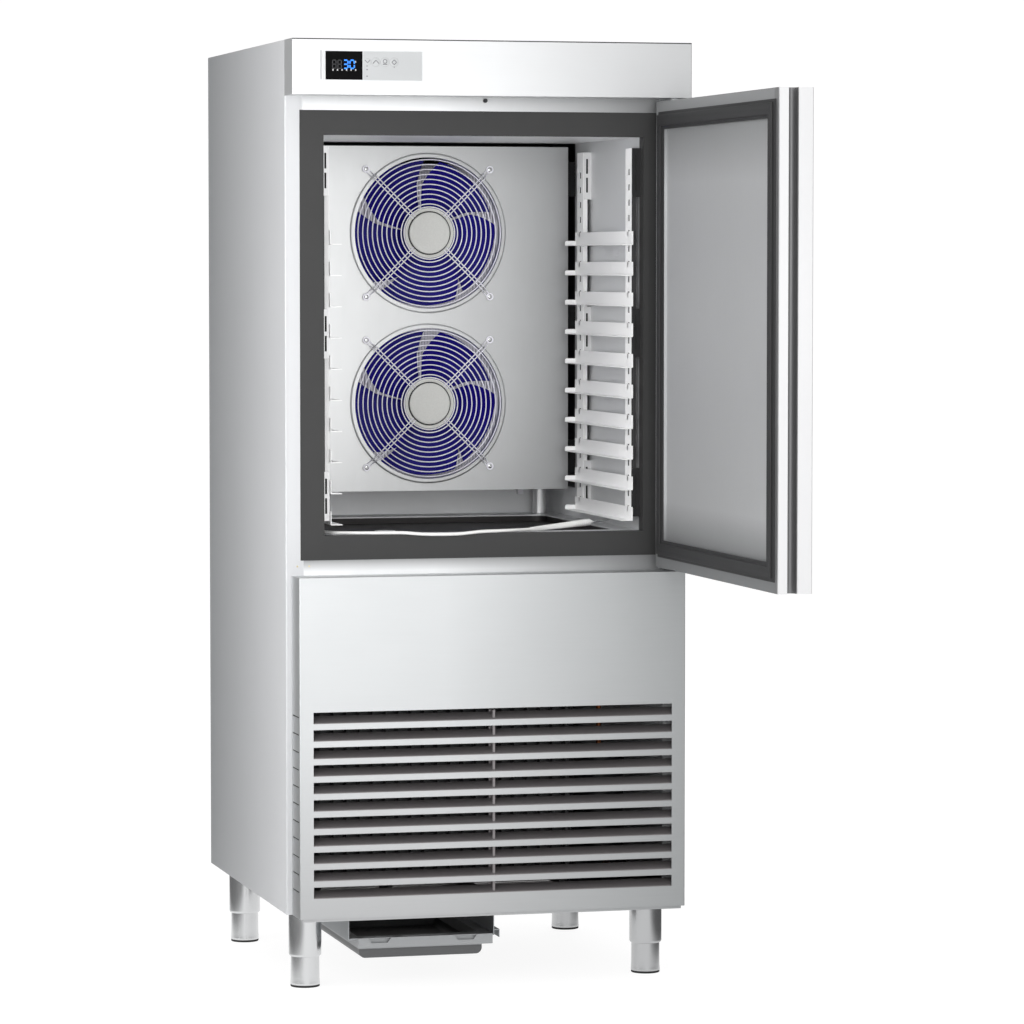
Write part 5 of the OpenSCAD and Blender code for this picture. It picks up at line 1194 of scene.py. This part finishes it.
# The key, both ends of the bar from the key's middle, its width, and its depth behind the dome, in mm.
INK_BARS = [
    (0, (-5, 3.6), (0, -1.4), 1.2, 0), (0, (0, -1.4), (5, 3.6), 1.2, 0),
    (1, (-6, -3), (0, 3.4), 1.4, 0), (1, (0, 3.4), (6, -3), 1.4, 0), (2, (-4.4, -4), (4.4, -4), 1.6, 0),
    (0, (-2, -7.5), (0.4, -7.5), 2.2, 0.3), (0, (-2, -14.5), (0.4, -14.5), 2.2, 0.3),
    (0, (-2, -27), (0.4, -27), 2.2, 0.3), (3, (0, -10.5), (0, -8), 1.4, 0.3),
]
inks = []
for key, start, end, wide, behind in INK_BARS:
    ends = in_mm([start, end], (KEYS[key], key_z))
    inks.append(mark_bar(*ends, wide * MM, DOME_FRONT + behind * MM))
inks += mark_ring((KEYS[2], key_z + 1.6 * MM), 3.6 * MM, 1.3 * MM, DOME_FRONT)
inks += mark_ring((KEYS[3], key_z), 4.6 * MM, 1.4 * MM, DOME_FRONT, 4)
place_piece("key_marks", inks, mark_grey, "cabinet")
rings = []
for x, radius in zip(KEYS, (6.9, 8.6, 8.6, 8.6)):
    rings += mark_ring((x, key_z), radius * MM, 0.5 * MM, DOME_FRONT + 0.35 * MM, 36)
edge_x = window_low.x - 8.4 * MM
edge = ((edge_x, window_low.z), (edge_x, window_high.z + 2 * MM))
rings.append(mark_bar(*edge, 2.6 * MM, front_y - 73.2 * MM))
place_piece("key_rings", rings, mark_pale, "cabinet")
print("keys", len(KEYS))

# %% [markdown]
# ## Studio
# The floor and the wall behind are one white sweep. A camera, a mirror or a window sees it nearly
# all as plain white, and to everything else it is ordinary pale card. A small share of the card's
# own shading is kept in what the camera sees, so that the object keeps its shadow on the floor.


# %% Floor and backdrop
SWEEP_HALF = 5.0
SWEEP_FRONT = -14.0
SWEEP_BACK = 5.0
SWEEP_HEIGHT = 9.0
SWEEP_BEND = 1.5


def sweep_mesh():
    """A floor that curves up into a wall."""
    line = [(SWEEP_FRONT, 0.0), (SWEEP_BACK - SWEEP_BEND, 0.0)]
    for step in range(1, 13):
        up, out = around(math.pi / 2 * step / 12, SWEEP_BEND)
        line.append((SWEEP_BACK - SWEEP_BEND + out, SWEEP_BEND - up))
    line.append((SWEEP_BACK, SWEEP_HEIGHT))
    points = [(x, y, z) for y, z in line for x in (-SWEEP_HALF, SWEEP_HALF)]
    made = bpy.data.meshes.new("sweep")
    made.from_pydata(points, [], [(i, i + 1, i + 3, i + 2) for i in range(0, len(points) - 2, 2)])
    return made


print("sweep reaches", SWEEP_BACK, "m back")

# %% [markdown]
# ## White without more light
# Light Path tells what kind of ray asks for a colour. Rays from the camera and through glass get
# white of strength 1. So do rays off gloss, but the room far to the left and right is dimmer for
# them, as behind dark curtains, and the floor beside the legs too, as under dark mats: without
# those, round polished metal would show no form. Light that falls on the object from the same
# world is weaker, so that colours come out as they are written. The card's back is clear to the
# camera, which looks through the wall when it stands behind it.


# %% White to the eye
def seen(tree, kinds, plain, shown):
    """shown where the ray is of one of the kinds, else plain. Both are numbers or outputs."""
    path = add(tree, "ShaderNodeLightPath").outputs
    looks = 0.0
    for kind in kinds:
        looks = add(tree, "ShaderNodeMath", {0: looks, 1: path[kind]}, operation="MAXIMUM")
    return add(tree, "ShaderNodeMapRange", {"Value": looks, "To Min": plain, "To Max": shown})


EYE = ("Is Camera Ray", "Is Transmission Ray")
GLOSS = ("Is Glossy Ray",)
WORLD_LEVEL = 0.55
CURTAIN_LEVEL = 0.45
CURTAIN_EDGES = (0.15, 0.6)
MAT_LEVEL = 0.04
MAT_SIDE_EDGES = (0.46, 0.72)
MAT_FRONT_EDGES = (-1.5, -1.0)
world = bpy.data.worlds.new("studio")
bpy.context.scene.world = world
sky_tree = bare(world)
towards = add(sky_tree, "ShaderNodeTexCoord").outputs["Generated"]
sideways = add(sky_tree, "ShaderNodeSeparateXYZ", {"Vector": towards}).outputs["X"]
sideways = add(sky_tree, "ShaderNodeMath", {0: sideways}, operation="ABSOLUTE")
curtain_span = {"From Min": CURTAIN_EDGES[0], "From Max": CURTAIN_EDGES[1], "To Max": CURTAIN_LEVEL}
curtain = add(sky_tree, "ShaderNodeMapRange", {"Value": sideways, "To Min": 1.0, **curtain_span})
sky_strength = seen(sky_tree, EYE, seen(sky_tree, GLOSS, WORLD_LEVEL, curtain), 1.0)
background = add(sky_tree, "ShaderNodeBackground", {"Color": (1, 1, 1, 1), "Strength": sky_strength})
add(sky_tree, "ShaderNodeOutputWorld", {"Surface": background})

WHITE_SHARE = 0.8
GLOW = 1.13  # the glow's share and the card's own lit share together come to white of strength 1
card = bpy.data.materials.new("white_card")
card_tree = bare(card)
paper = add(card_tree, "ShaderNodeBsdfDiffuse", {"Color": linear("#f4f4f4")})
place = add(card_tree, "ShaderNodeTexCoord").outputs["Object"]
apart = add(card_tree, "ShaderNodeSeparateXYZ", {"Vector": place}).outputs
aside = add(card_tree, "ShaderNodeMath", {0: apart["X"]}, operation="ABSOLUTE")
matted = 1.0
for place, (start, full) in ((aside, MAT_SIDE_EDGES), (apart["Y"], MAT_FRONT_EDGES)):
    part = add(card_tree, "ShaderNodeMapRange", {"Value": place, "From Min": start, "From Max": full})
    matted = add(card_tree, "ShaderNodeMath", {0: matted, 1: part}, operation="MULTIPLY")
dim_span = {"Value": matted, "To Min": GLOW, "To Max": GLOW * MAT_LEVEL}
dimmed = add(card_tree, "ShaderNodeMapRange", dim_span)
strength = seen(card_tree, EYE, dimmed, GLOW)
glow = add(card_tree, "ShaderNodeEmission", {"Color": (1, 1, 1, 1), "Strength": strength})
blend = {0: seen(card_tree, EYE + GLOSS, 0.0, WHITE_SHARE), 1: paper, 2: glow}
front = add(card_tree, "ShaderNodeMixShader", blend)
back = add(card_tree, "ShaderNodeNewGeometry").outputs["Backfacing"]
clear = add(card_tree, "ShaderNodeBsdfTransparent")
sides = {0: seen(card_tree, ("Is Camera Ray",), 0.0, back), 1: front, 2: clear}
surface = add(card_tree, "ShaderNodeMixShader", sides)
add(card_tree, "ShaderNodeOutputMaterial", {"Surface": surface})

sweep = put("sweep", sweep_mesh())
sweep.data.materials.append(card)
print("stage", sweep.name)

# %% [markdown]
# ## Soft boxes
# Satin metal shows the soft boxes as broad glows. The key stands in front and to the left, so that
# the fronts are lightest at their left and fall off to the right. The side light stands square to
# the side panel, and the fill in front looks into the chamber. One behind lights the back and the
# right side, and a small one behind the fan baffle keeps the gaps between the fan blades light.


# %% Lamps
def soft_box(name, place, target, size, power):
    data = bpy.data.lights.new(name, "AREA")
    data.shape = "RECTANGLE"
    data.size, data.size_y = size
    data.energy = power
    lamp = put(name, data)
    lamp.location = place
    lamp.rotation_euler = (Vector(target) - Vector(place)).to_track_quat("-Z", "Y").to_euler()
    lamp.visible_camera = False


soft_box("key", (-1.9, -2.4, 1.7), (-0.2, -0.4, 1.2), (1.3, 2.0), 35)
soft_box("fill", (0.1, -3.9, 1.5), (-0.1, 0, 1.25), (1.2, 1.6), 22)
soft_box("side", (-2.3, -0.9, 1.1), (-0.1, -0.35, 1.1), (0.7, 1.8), 15)
soft_box("top", (-0.6, -2.5, 4.2), (0, -0.2, 1.2), (2.0, 2.0), 14)
soft_box("back", (1.4, 3.6, 2.4), (0.0, 0.4, 1.1), (2.0, 2.0), 45)
soft_box("coil", (0, baffle_high.y + 33 * MM, 1.28), (0, 0.3, 1.28), (0.5, 0.62), 0.9)
bpy.context.scene.view_settings.view_transform = "Standard"
